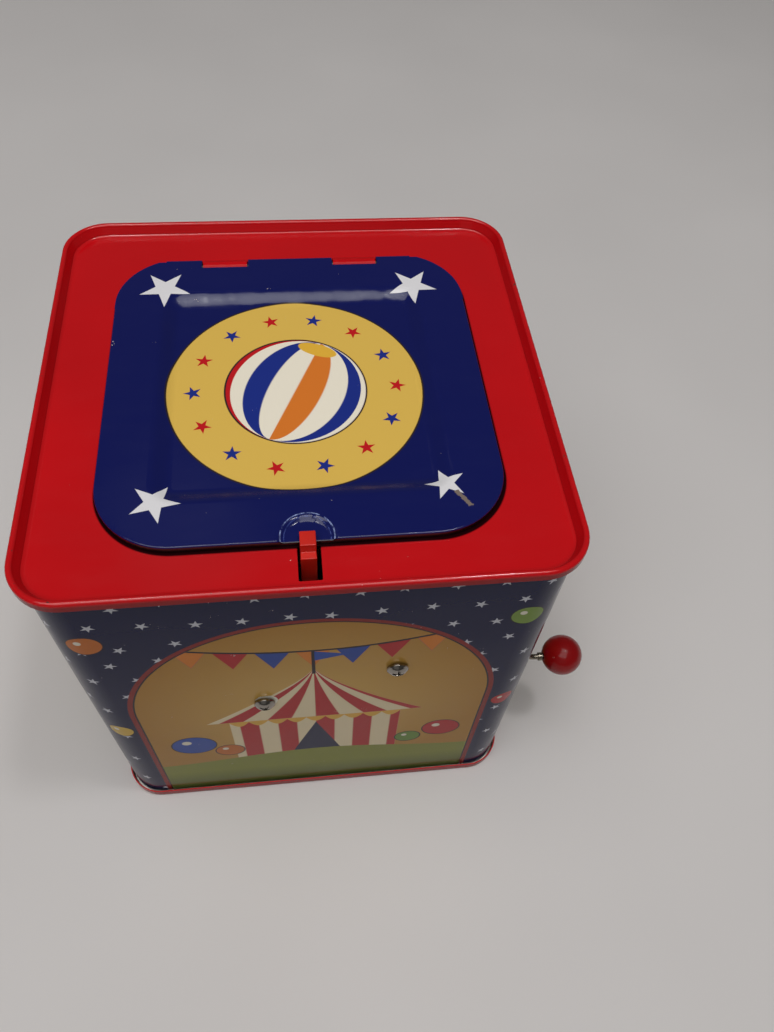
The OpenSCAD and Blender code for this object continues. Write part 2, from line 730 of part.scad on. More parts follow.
module crank_knob() {
    color("#b11217") difference() {
        translate([knob_x, -crank_y, handle_z]) sphere(r = knob_r);
        rod_x(crank_arm_x, knob_gap + knob_grip + 0.5, -crank_y, handle_z, crank_r + shaft_clearance);
    }
}

// The eyelet that lines the crank hole in the right-hand wall
module side_eyelet() {
    color("#b99a5b") difference() {
        union() {
            rod_x(wall_in - eyelet_flange_t, 2 * eyelet_flange_t + sheet_t, -crank_y, crank_z, eyelet_r);
            rod_x(body_half, eyelet_flange_t, -crank_y, crank_z, eyelet_flange_r);
            rod_x(wall_in - eyelet_flange_t, eyelet_flange_t, -crank_y, crank_z, eyelet_flange_r - 0.8);
        }
        rod_x(wall_in - 5, 10, -crank_y, crank_z, crank_r + shaft_clearance);
    }
}

// Involute of an angle, in degrees
function involute(a) = tan(a) * 180 / PI - a;

// Half the angle that a tooth fills at one radius
function tooth_half(r, pitch_r, teeth) =
    let (base_r = pitch_r * cos(pressure_angle), here = r > base_r ? acos(base_r / r) : 0)
    90 / teeth - gear_play / 4 / pitch_r * 180 / PI + involute(pressure_angle) - involute(here);

// The outline of a spur gear with a tooth at angle 0
function gear_outline(teeth, steps) =
    let (pitch_r = gear_module * teeth / 2, root_r = pitch_r - dedendum * gear_module,
         tip_r = pitch_r + addendum * gear_module, base_r = max(root_r, pitch_r * cos(pressure_angle)),
         radii = concat([root_r], [for (k = [0:steps]) base_r + (tip_r - base_r) * k / steps]),
         last = len(radii) - 1)
    [for (tooth = [0:teeth - 1], side = [-1, 1], k = [0:last])
        let (r = radii[side < 0 ? k : last - k], a = 360 * tooth / teeth + side * tooth_half(r, pitch_r, teeth))
        [r * cos(a), r * sin(a)]];

module crank_pinion() {
    color("#d9d4c4") difference() {
        along_x(gear_x, gear_w) translate([-crank_y, crank_z]) polygon(gear_outline(pinion_teeth, 4));
        rod_x(gear_x - past, gear_w + 2 * past, -crank_y, crank_z, crank_r + seat_clearance);
    }
}

// The drum's gear, turned so that one of its gaps meets the pinion's top tooth
module drum_gear() {
    top_tooth = 90 - 360 / pinion_teeth * round(pinion_teeth / 4);
    turn = 270 - 180 / gear_teeth - 360 / gear_teeth * floor(270 * gear_teeth / 360 - 0.5)
         + top_tooth * pinion_teeth / gear_teeth;
    rim_r = gear_pitch_r - 4;
    color("#efe9d6") difference() {
        union() {
            along_x(gear_x, gear_w) translate([-crank_y, drum_z]) rotate(turn) polygon(gear_outline(gear_teeth, 2));
            rod_x(gear_x - end_gap + 0.2, end_gap, -crank_y, drum_z, axle_r + 3);
        }
        rod_x(gear_x - 2 * past, gear_w + 4 * past, -crank_y, drum_z, axle_r + seat_clearance);
        // Lightening holes
        for (hole = [0:5]) translate([0, -crank_y, drum_z]) rotate([60 * hole, 0, 0])
            rod_x(gear_x - past, gear_w + 2 * past, 0, (rim_r + axle_r + 3) / 2, 3);
    }
}

// Where the music drum's pins stand: angle and place of each, from a repeating tune of steps
function tune() = [for (i = [0:comb_teeth - 1], k = [0:2]) [120 * k + (i * 47) % 110, i]];

module music_drum() {
    color("#d8b35a") {
        difference() {
            rod_x(drum_x, drum_w, -crank_y, drum_z, drum_r);
            rod_x(drum_x - past, drum_w + 2 * past, -crank_y, drum_z, axle_r + seat_clearance);
        }
        for (note = tune()) translate([comb_x + (note[1] + 0.5) * comb_pitch, -crank_y, drum_z])
            rotate([note[0], 0, 0]) translate([0, 0, drum_r - pin_h]) cylinder(r = pin_r, h = 2 * pin_h, $fn = 8);
    }
}

module drum_axle() {
    axle_low = left_plate_x - 1;
    color("silver") rod_x(axle_low, frame_right_x + 1 - axle_low, -crank_y, drum_z, axle_r);
}

// The release cam: a round disc with one lobe, which points down at rest
module release_cam() {
    lobe = [for (a = [-cam_lobe_half:2:cam_lobe_half])
        let (r = cam_base_r + cam_lift * (1 + cos(180 * a / cam_lobe_half)) / 2) r * [cos(a - 90), sin(a - 90)]];
    color("#e3ddca") difference() {
        along_x(cam_x, cam_w) translate([-crank_y, drum_z]) {
            circle(r = cam_base_r);
            polygon(concat([[0, 0]], lobe));
        }
        rod_x(cam_x - past, cam_w + 2 * past, -crank_y, drum_z, axle_r + seat_clearance);
    }
}

// The steel comb: a clamped bar with free teeth that hang in front of the drum
module comb() {
    color("#b8bcc2") difference() {
        translate([comb_x, comb_back_y - comb_t, comb_low_z])
            cube([comb_w, comb_t, frame_high_z - comb_low_z]);
        for (slit = [1:comb_teeth - 1])
            translate([comb_x + slit * comb_pitch - comb_slit / 2, comb_back_y - comb_t - past, comb_low_z - past])
                cube([comb_slit, comb_t + 2 * past, comb_clamp_z - comb_low_z]);
        for (spot = comb_screw_spots())
            rod_y(comb_back_y - comb_t - past, comb_t + 2 * past, spot, comb_screw_z, comb_screw_r + seat_clearance);
    }
}

module comb_screws() {
    color("#c9ccd0") for (spot = comb_screw_spots()) mirror([0, 1, 0])
        pan_screw(spot, -comb_back_y, comb_screw_z, comb_screw_r, comb_t + comb_screw_grip, comb_screw_head_r,
                  comb_screw_head_h);
}

module puppet_base() {
    color("#c8a36b") difference() {
        translate([0, 0, foot_floor_h]) cylinder(r = base_r, h = base_t);
        for (turn = rivet_turns) rotate([0, 0, turn]) translate([rivet_out, 0, foot_floor_h - past])
            cylinder(r = rivet_r + seat_clearance, h = base_t + 2 * past);
        for (turn = staple_turns, leg_x = staple_legs) rotate([0, 0, turn])
            translate([leg_x, 0, base_top_z - staple_depth]) cylinder(r = staple_r + seat_clearance, h = base_t);
    }
}

module base_rivets() {
    color("#c9ccd0") for (turn = rivet_turns) rotate([0, 0, turn]) translate([rivet_out, 0, 0]) {
        translate([0, 0, foot_floor_h - sheet_t - rivet_head_t]) cylinder(r = rivet_head_r, h = rivet_head_t);
        translate([0, 0, foot_floor_h - sheet_t - rivet_head_t])
            cylinder(r = rivet_r, h = base_t + sheet_t + 2 * rivet_head_t);
        translate([0, 0, base_top_z]) cylinder(r = rivet_head_r - 0.6, h = rivet_head_t);
    }
}

// A wire staple that holds the spring's lowest coil down at one turn of it
module staple(turn) {
    coil_z = coil_height(spring_turns, spring_wire_r, spring_low_z, spring_high_z, turn / 360);
    top_z = coil_z + spring_wire_r + staple_r + coil_gap;
    for (leg_x = staple_legs) translate([leg_x, 0, base_top_z - staple_depth])
        cylinder(r = staple_r, h = top_z - base_top_z + staple_depth);
    rod_x(staple_legs[0] - staple_r, staple_legs[1] - staple_legs[0] + 2 * staple_r, 0, top_z, staple_r);
}

module spring_staples() {
    color("#c9ccd0") for (turn = staple_turns) rotate([0, 0, turn]) staple(turn);
}

module puppet_spring() {
    color("#b9bdc4") coil(spring_turns, spring_r, spring_wire_r, spring_low_z, spring_high_z, 20, 6);
}

module spring_top_disc() {
    color("#c8a36b") difference() {
        translate([0, 0, spring_top_z]) cylinder(r = top_disc_r, h = top_disc_t);
        translate([0, 0, spring_top_z - past]) cylinder(r = neck_r + seat_clearance, h = top_disc_t + 2 * past);
    }
}

module neck_dowel() {
    color("#d9b884") translate([0, 0, spring_top_z]) cylinder(r = neck_r, h = head_z - 4 - spring_top_z);
}

// The outline of the robe from hem to neck: folds round the spring, then sloping shoulders
function robe_outline(inset) =
    let (low_r = top_disc_r + robe_gap + robe_t, hem_r = base_r + robe_gap + robe_t,
         fold_z = (robe_waist_z - robe_hem_z) / (4 * robe_folds))
    concat([for (i = [0:4 * robe_folds]) let (share = i / (4 * robe_folds))
                [hem_r + (low_r + robe_wave - hem_r) * share + robe_wave * sin(90 * i) * (share > 0.15 ? 1 : 0) - inset,
                 robe_hem_z + i * fold_z]],
           [[low_r - 1.5 - inset, robe_waist_z + 3], [robe_neck_r + 9 - inset, shoulder_z - 8],
            [robe_neck_r + 2.5 - inset, shoulder_z - 2.5], [robe_neck_r - inset, shoulder_z]]);

// The robe as one solid, filled to the neck, to trim what is sewn on it
module robe_solid(grow) {
    rotate_extrude() polygon(concat([[0, robe_hem_z]], robe_outline(-grow), [[0, shoulder_z + grow]]));
}

module puppet_robe() {
    inner = robe_outline(robe_t);
    last = len(inner) - 1;
    color("#2f50a8")
        rotate_extrude() polygon(concat(robe_outline(0), [for (i = [last:-1:0]) inner[i]]));
}

// Both sleeves, sewn to the robe's shoulders
module puppet_sleeves() {
    color("#c8202a") for (side = [0, 1]) mirror([side, 0, 0]) difference() {
        union() {
            limb(sleeve_root, sleeve_elbow, sleeve_r);
            limb(sleeve_elbow, sleeve_cuff, sleeve_r);
            translate(sleeve_elbow) sphere(r = elbow_r);
        }
        robe_solid(seat_clearance);
    }
}

// A round limb between two points
module limb(from, to, r) {
    way = to - from;
    lean = acos(way[2] / norm(way));
    turn = atan2(way[1], way[0]);
    translate(from) rotate([0, lean, turn]) cylinder(r = r, h = norm(way));
}

// A mitten: a flat palm with a thumb
module mitten() {
    hull() {
        translate([0, 0, -palm_r]) sphere(r = palm_r, $fn = 20);
        translate([0, 0, -palm_r - palm_len]) sphere(r = palm_r - 0.6, $fn = 20);
    }
    hull() {
        translate([0, -palm_r + 1, -palm_r]) sphere(r = thumb_r, $fn = 12);
        translate([0, -palm_r - 1, -palm_r - palm_len / 2]) sphere(r = thumb_r - 0.4, $fn = 12);
    }
}

module puppet_hands() {
    color("#f1ece0") for (side = [-1, 1])
        translate([side * cuff_x, 0, shoulder_z - cuff_drop - hand_gap]) mitten();
}

// The pleated collar, with a hole for the neck
module puppet_ruff() {
    color("#f0c63c") difference() {
        translate([0, 0, shoulder_z + 0.3]) linear_extrude(height = ruff_t)
            polygon([for (i = [0:4 * ruff_pleats - 1]) let (a = 90 * i / ruff_pleats, r = ruff_r - 1 + cos(90 * i))
                     r * [cos(a), sin(a)]]);
        translate([0, 0, shoulder_z - past]) cylinder(r = neck_r + seat_clearance, h = ruff_t + 3 * past);
    }
}

module puppet_head() {
    color("#f0d0b4") difference() {
        translate([0, 0, head_z]) sphere(r = head_r);
        translate([0, 0, neck_z - past]) cylinder(r = neck_r + seat_clearance, h = head_r + past - 4);
        rod_y(-head_r - past, nose_peg_len + 1.5 * past, 0, head_z, nose_peg_r + seat_clearance);
    }
}

// A round bead with a flat back, on a peg
module puppet_nose() {
    color("#c8202a") {
        difference() {
            translate([0, -head_r - nose_r / 2, head_z]) sphere(r = nose_r);
            translate([-nose_r, -head_r - seat_clearance, head_z - nose_r]) cube(2 * nose_r);
        }
        rod_y(-head_r - nose_r / 2, nose_r / 2 + nose_peg_len, 0, head_z, nose_peg_r);
    }
}

// The pointed hat, a cone with a rolled brim that sits on the crown of the head
module puppet_hat() {
    brim_z = head_z + sqrt(head_r * head_r - hat_r * hat_r) - 0.5;
    tip_z = pompom_z - pompom_r * 0.6;
    color("#2f50a8") difference() {
        union() {
            translate([0, 0, brim_z]) cylinder(r1 = hat_r + 1, r2 = 1, h = tip_z - brim_z);
            translate([0, 0, brim_z + 1.4]) rotate_extrude() translate([hat_r, 0]) circle(r = 1.9);
        }
        translate([0, 0, head_z]) sphere(r = head_r + seat_clearance);
        translate([0, 0, pompom_z]) sphere(r = pompom_r + seat_clearance);
    }
}

// The pom-pom on the tip of the hat
module hat_pompoms() {
    color("#e9b820") translate([0, 0, pompom_z]) sphere(r = pompom_r);
}

body_shell();
top_panel();
bottom_panel();
lid();
hinge_pin();
latch_lever();
latch_pivot_pin();
latch_spring();
movement_frame();
frame_screws();
crank_wire();
crank_pinion();
crank_knob();
side_eyelet();
music_drum();
drum_gear();
drum_axle();
release_cam();
comb();
comb_screws();
puppet_base();
base_rivets();
spring_staples();
puppet_spring();
spring_top_disc();
neck_dowel();
puppet_robe();
puppet_sleeves();
puppet_hands();
puppet_ruff();
puppet_head();
puppet_nose();
puppet_hat();
hat_pompoms();
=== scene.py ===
# %% [markdown]
# # A jack in the box, dressed for the camera
# The CAD model gives every part its true size and place. This script keeps that frame and gives each part the
# surface a maker would know: printed tin, moulded plastic, bright wire, sewn cotton and painted wood.
# All lengths below are millimetres, and one factor turns them into Blender's metres.

# %% Load the frame
import json
import math
import bmesh
import bpy
from mathutils import Matrix, Vector, noise

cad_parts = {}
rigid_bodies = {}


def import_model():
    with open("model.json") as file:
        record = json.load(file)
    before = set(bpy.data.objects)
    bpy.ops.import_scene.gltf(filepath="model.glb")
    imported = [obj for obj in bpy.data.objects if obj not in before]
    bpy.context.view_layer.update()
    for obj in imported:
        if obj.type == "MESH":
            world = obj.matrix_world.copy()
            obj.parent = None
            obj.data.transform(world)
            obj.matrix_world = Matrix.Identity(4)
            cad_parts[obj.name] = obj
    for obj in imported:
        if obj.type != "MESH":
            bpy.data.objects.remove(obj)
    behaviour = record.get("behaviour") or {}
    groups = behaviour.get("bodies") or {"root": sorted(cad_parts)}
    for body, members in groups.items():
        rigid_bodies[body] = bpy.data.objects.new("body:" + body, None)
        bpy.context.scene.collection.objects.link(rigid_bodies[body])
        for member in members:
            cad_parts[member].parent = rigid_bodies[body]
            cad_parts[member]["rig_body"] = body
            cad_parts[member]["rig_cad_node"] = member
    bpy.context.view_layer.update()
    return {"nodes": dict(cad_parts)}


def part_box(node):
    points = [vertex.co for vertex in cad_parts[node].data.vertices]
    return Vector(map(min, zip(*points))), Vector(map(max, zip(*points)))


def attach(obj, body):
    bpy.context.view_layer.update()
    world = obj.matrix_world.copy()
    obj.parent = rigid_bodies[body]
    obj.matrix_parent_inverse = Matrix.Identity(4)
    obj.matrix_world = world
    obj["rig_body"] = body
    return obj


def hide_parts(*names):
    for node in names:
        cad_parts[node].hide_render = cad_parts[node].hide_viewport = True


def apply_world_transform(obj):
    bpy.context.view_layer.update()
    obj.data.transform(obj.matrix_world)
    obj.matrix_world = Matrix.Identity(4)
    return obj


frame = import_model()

MM = 0.001

# %% [markdown]
# ## The camera
# A camera held in the hand has no tidy numbers: it is in front of the box and above it, looks down by some 55
# degrees and leans a little. Its place and turn are written once, here.

# %% Camera
CAMERA_PLACE = (-1.5, -165.8, 311.9)
CAMERA_TURN = (35.09, -3.11, -6.12)
CAMERA_LENS = 28.68

bpy.ops.object.camera_add(location=[value * MM for value in CAMERA_PLACE],
                          rotation=[math.radians(turn) for turn in CAMERA_TURN])
camera = bpy.context.object
camera.name = "camera"
camera.data.lens = CAMERA_LENS
camera.data.clip_start = 10 * MM
bpy.context.scene.camera = camera
bpy.context.scene.view_settings.view_transform = "Standard"
print("camera at", CAMERA_PLACE, "lens", CAMERA_LENS)

# %% [markdown]
# ## Helpers for materials
# A material is a small graph of nodes. One function adds any node, sets its options and links its inputs, so each
# finish below reads as a recipe. A new node always goes into the material that was begun last. Colours are written
# as hex values, the way a paint chart gives them, and turned into the linear light that a renderer adds up.

# %% Material helpers
def linear(hex_colour):
    """An sRGB hex colour as linear RGBA."""
    channels = [int(hex_colour[k:k + 2], 16) / 255 for k in (1, 3, 5)]
    return [c / 12.92 if c <= 0.04045 else ((c + 0.055) / 1.055) ** 2.4 for c in channels] + [1.0]


def new_material(name):
    """Starts an empty material. Every node that is added after this goes into it."""
    global current
    current = bpy.data.materials.new(name)
    current.use_nodes = True
    current.node_tree.nodes.clear()


def add_node(kind, inputs=None, **options):
    """Adds a node to the current material. An input is a value, a node (its first output) or an output socket."""
    node = current.node_tree.nodes.new("ShaderNode" + kind)
    for name, value in options.items():
        setattr(node, name, value)
    for name, value in (inputs or {}).items():
        if isinstance(value, bpy.types.Node):
            value = value.outputs[0]
        if isinstance(value, bpy.types.NodeSocket):
            current.node_tree.links.new(value, node.inputs[name])
        else:
            node.inputs[name].default_value = value
    return node


def surface(**inputs):
    """Ends the current material with a surface and returns it. Roughness=0.5 sets the input called Roughness."""
    inputs = {name.replace("_", " "): value for name, value in inputs.items()}
    add_node("OutputMaterial", {"Surface": add_node("BsdfPrincipled", inputs)})
    return current


def calc(operation, *values):
    """One step of arithmetic on numbers."""
    return add_node("Math", dict(enumerate(values)), operation=operation).outputs[0]


def vector(operation, *values):
    """One step of arithmetic on vectors."""
    node = add_node("VectorMath", dict(enumerate(values)), operation=operation)
    return node.outputs["Value" if operation == "LENGTH" else "Vector"]


def scaled(value, scale):
    """A vector or a colour times a number."""
    return add_node("VectorMath", {0: value, "Scale": scale}, operation="SCALE").outputs[0]


def combined(x, y):
    """A flat vector of two numbers."""
    return add_node("CombineXYZ", {0: x, 1: y}).outputs[0]


def xyz(value):
    """The three numbers of a vector, by the name of their axis."""
    return add_node("SeparateXYZ", {0: value}).outputs


def turned_flat(value, angle):
    """A vector turned about Z."""
    return add_node("VectorRotate", {"Vector": value, "Angle": angle}, rotation_type="Z_AXIS").outputs[0]


def facing_up():
    """How far the surface faces up: 1 on a flat top, 0 on an upright wall."""
    return xyz(add_node("NewGeometry").outputs["Normal"])["Z"]


def bump(strength, distance, height, under=None):
    """Relief distance millimetres deep, on top of another relief if given."""
    inputs = {"Strength": strength, "Distance": distance * MM, "Height": height}
    if under is not None:
        inputs["Normal"] = under
    return add_node("Bump", inputs).outputs[0]


def object_mm():
    """The place on the object in millimetres, as a vector."""
    return scaled(add_node("TexCoord").outputs["Object"], 1 / MM)


def grain(place, size, detail=2.0, stretch=(1, 1, 1)):
    """Noise whose blotches are size millimetres across, drawn out by stretch."""
    spread = vector("MULTIPLY", place, [1 / (size * share) for share in stretch])
    return add_node("TexNoise", {"Vector": spread, "Scale": 1.0, "Detail": detail})


def between(value, low, high, start=0.0, end=1.0):
    """Maps value from low..high to start..end, clamped."""
    return add_node("MapRange", {"Value": value, "From Min": low, "From Max": high, "To Min": start, "To Max": end})


def print_inks(ground, layers):
    """Prints each (mask, colour) layer over the ground, in order. A colour is hex or a socket."""
    for mask, colour in layers:
        under, over = (linear(ink) if isinstance(ink, str) else ink for ink in (ground, colour))
        ground = add_node("Mix", {0: mask, 6: under, 7: over}, data_type="RGBA").outputs[2]
    return ground


def overlap(first, *others):
    """Where all the masks lie."""
    for mask in others:
        first = calc("MULTIPLY", first, mask)
    return first


print("helpers ready; mid grey #808080 is", round(linear("#808080")[0], 3), "in linear light")

# %% [markdown]
# ## Floor and light
# A pale matt floor and a few large lamps stand in for a table in a bright room. Their size keeps the shadows soft,
# and one lamp overhead towards the camera gives the pressed tin its white glints. The floor is stage, not part of
# the toy.

# %% Floor
FLOOR_SIZE = 12000
FLOOR_COLOUR = "#d5d1cf"

bpy.ops.object.select_all(action="DESELECT")
bpy.ops.mesh.primitive_plane_add(size=FLOOR_SIZE * MM)
floor = bpy.context.object
floor.name = "floor"
new_material("matt_floor_paint")
floor_tone = between(grain(object_mm(), 160), 0.3, 0.7, 0.97, 1.03)
floor_colour = scaled(linear(FLOOR_COLOUR)[:3], floor_tone)
floor.data.materials.append(surface(Base_Color=floor_colour, Roughness=0.85, Specular_IOR_Level=0.2))
print("floor", FLOOR_SIZE / 1000, "m wide")

# %% Lamps
LAMPS = (
    # name, place, size, watts
    ("ceiling_lamp", (10, -130, 1400), 300, 0.2),
    ("left_lamp", (-290, -130, 1400), 180, 1.0),
    ("right_lamp", (330, -130, 1400), 120, 2.3),
    ("ceiling_glow", (-180, -450, 1500), 1500, 15.4),
    ("back_lamp", (-224, 738, 1286), 220, 0.02),
    ("room_wall", (-300, -1500, 900), 1200, 0.5),
)
WORLD_COLOUR = "#d8d6d3"
WORLD_LIGHT = 0.13

for lamp_name, place, size, watts in LAMPS:
    aim = Vector((0, 0, 80)) - Vector(place)
    bpy.ops.object.light_add(type="AREA", location=[value * MM for value in place],
                             rotation=aim.to_track_quat("-Z", "Y").to_euler())
    lamp = bpy.context.object
    lamp.name = lamp_name
    lamp.data.shape = "SQUARE"
    lamp.data.size = size * MM
    lamp.data.energy = watts

world = bpy.data.worlds.new("studio")
world.use_nodes = True
world.node_tree.nodes["Background"].inputs["Color"].default_value = linear(WORLD_COLOUR)
world.node_tree.nodes["Background"].inputs["Strength"].default_value = WORLD_LIGHT
bpy.context.scene.world = world
print(len(LAMPS), "lamps and an even sky")

# %% [markdown]
# ## Helpers for modelling
# Pressed tin is the same everywhere: a flat blank whose corners are round, stepped in and up or down by the press.
# That is exactly a plane with bevelled corners and a chain of insets, each with its own depth, so one helper cuts
# the blank and another presses a profile into it.

# %% Modelling helpers
def start_clean():
    """Leaves edit mode and selects nothing."""
    if bpy.context.object and bpy.context.object.mode != "OBJECT":
        bpy.ops.object.mode_set(mode="OBJECT")
    bpy.ops.object.select_all(action="DESELECT")


def select_only(piece):
    """Makes piece the one selected and active object."""
    start_clean()
    piece.select_set(True)
    bpy.context.view_layer.objects.active = piece


def edit_all():
    """Enters edit mode with the whole mesh selected."""
    bpy.ops.object.mode_set(mode="EDIT")
    bpy.ops.mesh.select_all(action="SELECT")


def edit_done():
    """Leaves edit mode."""
    bpy.ops.object.mode_set(mode="OBJECT")


def bake_transform():
    """Puts the active object's place, turn and size into its mesh."""
    bpy.ops.object.transform_apply(location=True, rotation=True, scale=True)


def new_object(name):
    """Names the object just made and bakes its transform."""
    piece = bpy.context.object
    piece.name = name
    bake_transform()
    return piece


def lift(height):
    """Extrudes the selection up by a height."""
    bpy.ops.mesh.extrude_region_move(TRANSFORM_OT_translate={"value": (0, 0, height * MM)})


def cut_blank(name, width, depth, corner, low, middle_y=0.0, steps=12):
    """A flat blank with round corners at height low, ready to be pressed: its face stays selected."""
    start_clean()
    bpy.ops.mesh.primitive_plane_add(size=1, location=(0, middle_y * MM, low * MM))
    bpy.context.object.scale = (width * MM, depth * MM, 1)
    blank = new_object(name)
    edit_all()
    bpy.ops.mesh.bevel(offset=corner * MM, segments=steps, affect="VERTICES")
    bpy.ops.mesh.select_all(action="SELECT")
    return blank


def press(profile):
    """Presses (distance in from the edge, height) points, one after the other, into the selected face."""
    for step, ((edge, low), (next_edge, high)) in enumerate(zip(profile, profile[1:])):
        if next_edge - edge > 0.01:
            bpy.ops.mesh.inset(thickness=(next_edge - edge) * MM, depth=(high - low) * MM)
        elif step > 0:
            lift(high - low)
        else:
            # The outer wall: the blank goes up and its free edge is drawn back down to where it was
            bpy.ops.transform.translate(value=(0, 0, (high - low) * MM))
            bpy.ops.mesh.region_to_loop()
            bpy.ops.mesh.extrude_edges_move(TRANSFORM_OT_translate={"value": (0, 0, (low - high) * MM)})
            bpy.ops.mesh.select_mode(type="FACE")
            bpy.ops.mesh.select_face_by_sides(number=4, type="GREATER", extend=False)


def roll(edge, low, radius, start, end, steps):
    """Profile points along a round bend about (edge, low), angles in degrees from the outside."""
    turns = [math.radians(start + (end - start) * k / steps) for k in range(steps + 1)]
    return [(edge - radius * math.cos(a), low + radius * math.sin(a)) for a in turns]


def select_where(piece, kind, test):
    """Selects the vertices or faces whose centre in millimetres passes the test."""
    bpy.ops.object.mode_set(mode="EDIT")
    bpy.ops.mesh.select_mode(type={"verts": "VERT", "faces": "FACE"}[kind])
    bpy.ops.mesh.select_all(action="DESELECT")
    mesh = bmesh.from_edit_mesh(piece.data)
    for item in getattr(mesh, kind):
        if kind == "verts":
            middle = item.co
        else:
            middle = sum((v.co for v in item.verts), Vector()) / len(item.verts)
        item.select_set(test(middle / MM))
    mesh.select_flush_mode()
    bmesh.update_edit_mesh(piece.data)


def bisect(place, normal, **options):
    """Cuts the whole mesh at a plane; the options clear a side of it or fill the cut."""
    edit_all()
    bpy.ops.mesh.bisect(plane_co=[value * MM for value in place], plane_no=normal, **options)


def cut_lines(xs=(), ys=()):
    """Cuts the mesh along upright planes at each x and each y."""
    for x in xs:
        bisect((x, 0, 0), (1, 0, 0))
    for y in ys:
        bisect((0, y, 0), (0, 1, 0))


def close_holes():
    """Fills the open ends of the mesh and turns its faces outwards."""
    edit_all()
    bpy.ops.mesh.fill_holes(sides=0)
    bpy.ops.mesh.normals_make_consistent(inside=False)
    edit_done()


def move_verts(piece, place):
    """Moves each vertex to place(its old place), both in millimetres, as a sculptor would push it."""
    edit_done()
    for vertex in piece.data.vertices:
        vertex.co = Vector(place(vertex.co / MM)) * MM


def use_modifier(piece, kind, **settings):
    """Adds a modifier with its settings and applies it."""
    select_only(piece)
    modifier = piece.modifiers.new(kind.lower(), kind)
    for name, value in settings.items():
        setattr(modifier, name, value)
    bpy.ops.object.modifier_apply(modifier=modifier.name)


def soften(piece, width, segments=2, angle=60):
    """Breaks the edges that are sharper than an angle."""
    use_modifier(piece, "BEVEL", width=width * MM, segments=segments, limit_method="ANGLE",
                 angle_limit=math.radians(angle))


def thicken(piece, thickness, offset=-1.0, **settings):
    """Gives a skin its thickness, inwards unless offset says otherwise."""
    use_modifier(piece, "SOLIDIFY", thickness=thickness * MM, offset=offset, **settings)


def ball(name, radius, place, segments, rings, turn=(0, 0, 0)):
    """A ball of so many segments and rings; its poles are turned by degrees."""
    start_clean()
    bpy.ops.mesh.primitive_uv_sphere_add(segments=segments, ring_count=rings, radius=radius * MM,
                                         location=[value * MM for value in place],
                                         rotation=[math.radians(value) for value in turn])
    return new_object(name)


def join(pieces, name):
    """Joins pieces into the first one."""
    start_clean()
    for piece in pieces:
        piece.select_set(True)
    bpy.context.view_layer.objects.active = pieces[0]
    bpy.ops.object.join()
    pieces[0].name = name
    return pieces[0]


def dress(piece, *materials):
    """Gives a piece its materials, in order."""
    for material in materials:
        piece.data.materials.append(material)


def finish_piece(piece, body, material=None, node=None, angle=30):
    """Smooths a piece, dresses it unless that is done, and hands it to the frame."""
    select_only(piece)
    bake_transform()
    bpy.ops.object.shade_smooth_by_angle(angle=math.radians(angle))
    use_modifier(piece, "WEIGHTED_NORMAL", keep_sharp=True)
    if material:
        dress(piece, material)
    if body:
        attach(piece, body)
    if node:
        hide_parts(node)
    print(piece.name, "has", len(piece.data.polygons), "faces and rides on", body)
    return piece


def softened_copy(node, name, edge):
    """A merged copy of a rigid CAD node whose sharp edges are broken, as moulding and tumbling leave them."""
    piece = frame["nodes"][node].copy()
    piece.data = piece.data.copy()
    piece.data.materials.clear()
    piece.name = name
    piece.parent = None
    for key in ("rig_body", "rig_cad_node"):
        del piece[key]
    bpy.context.scene.collection.objects.link(piece)
    select_only(piece)
    edit_all()
    bpy.ops.mesh.remove_doubles(threshold=0.002 * MM)
    bpy.ops.mesh.dissolve_limited(angle_limit=math.radians(1))
    edit_done()
    if edge:
        soften(piece, edge, angle=35)
    return piece


print("modelling helpers ready")

# %% [markdown]
# ## Printed tin
# Tin toys are printed flat on tinplate with glossy inks and varnish, then pressed. To the eye that gives flat, clean
# colours, a thin hard gloss over a sheet that is never quite flat, and bare metal where an edge has been knocked.
# A common varnish has an IOR of 1.5. The sheet's waviness and the varnish's orange peel go into the bump.

# %% Varnished tin
VARNISH_IOR = 1.5
VARNISH_ROUGHNESS = 0.16
SHEET_WAVE, PUCKER, ORANGE_PEEL, SMEAR = 34, 9, 1.1, 14
WAVE_DEPTH, PEEL_DEPTH = 0.9, 0.05


def tin_bump(place, pucker):
    """The waviness of thin sheet under the fine orange peel of varnish; puckers stand on its pressed slopes."""
    sheet = bump(0.2, WAVE_DEPTH, grain(place, SHEET_WAVE, detail=0.0))
    if pucker:
        on_slope = between(facing_up(), 0.998, 0.98, 0.0, pucker)
        sheet = bump(on_slope, WAVE_DEPTH, grain(place, PUCKER, 1.5, (1, 2, 2)), sheet)
    return bump(0.10, PEEL_DEPTH, grain(place, ORANGE_PEEL, detail=1.0), sheet)


def varnished(place, colour, gloss=0.5, pucker=0.0):
    """Ends a material as ink under varnish with the dull smears of handling. Gloss 0.5 is a fresh coat."""
    smear = grain(place, SMEAR, 4.0, (1, 0.35, 1))
    return surface(Base_Color=colour, IOR=VARNISH_IOR, Specular_IOR_Level=gloss, Normal=tin_bump(place, pucker),
                   Roughness=between(smear, 0.35, 0.75, VARNISH_ROUGHNESS - 0.05, VARNISH_ROUGHNESS + 0.09))


def chips(place, size, rarity):
    """Small spots where the ink has been knocked off: few, hard-edged and uneven."""
    spots = calc("MULTIPLY", grain(place, size, detail=3.0), grain(place, 9 * size, detail=1.0))
    return between(spots, rarity, rarity + 0.012)


print("varnish with an IOR of", VARNISH_IOR)

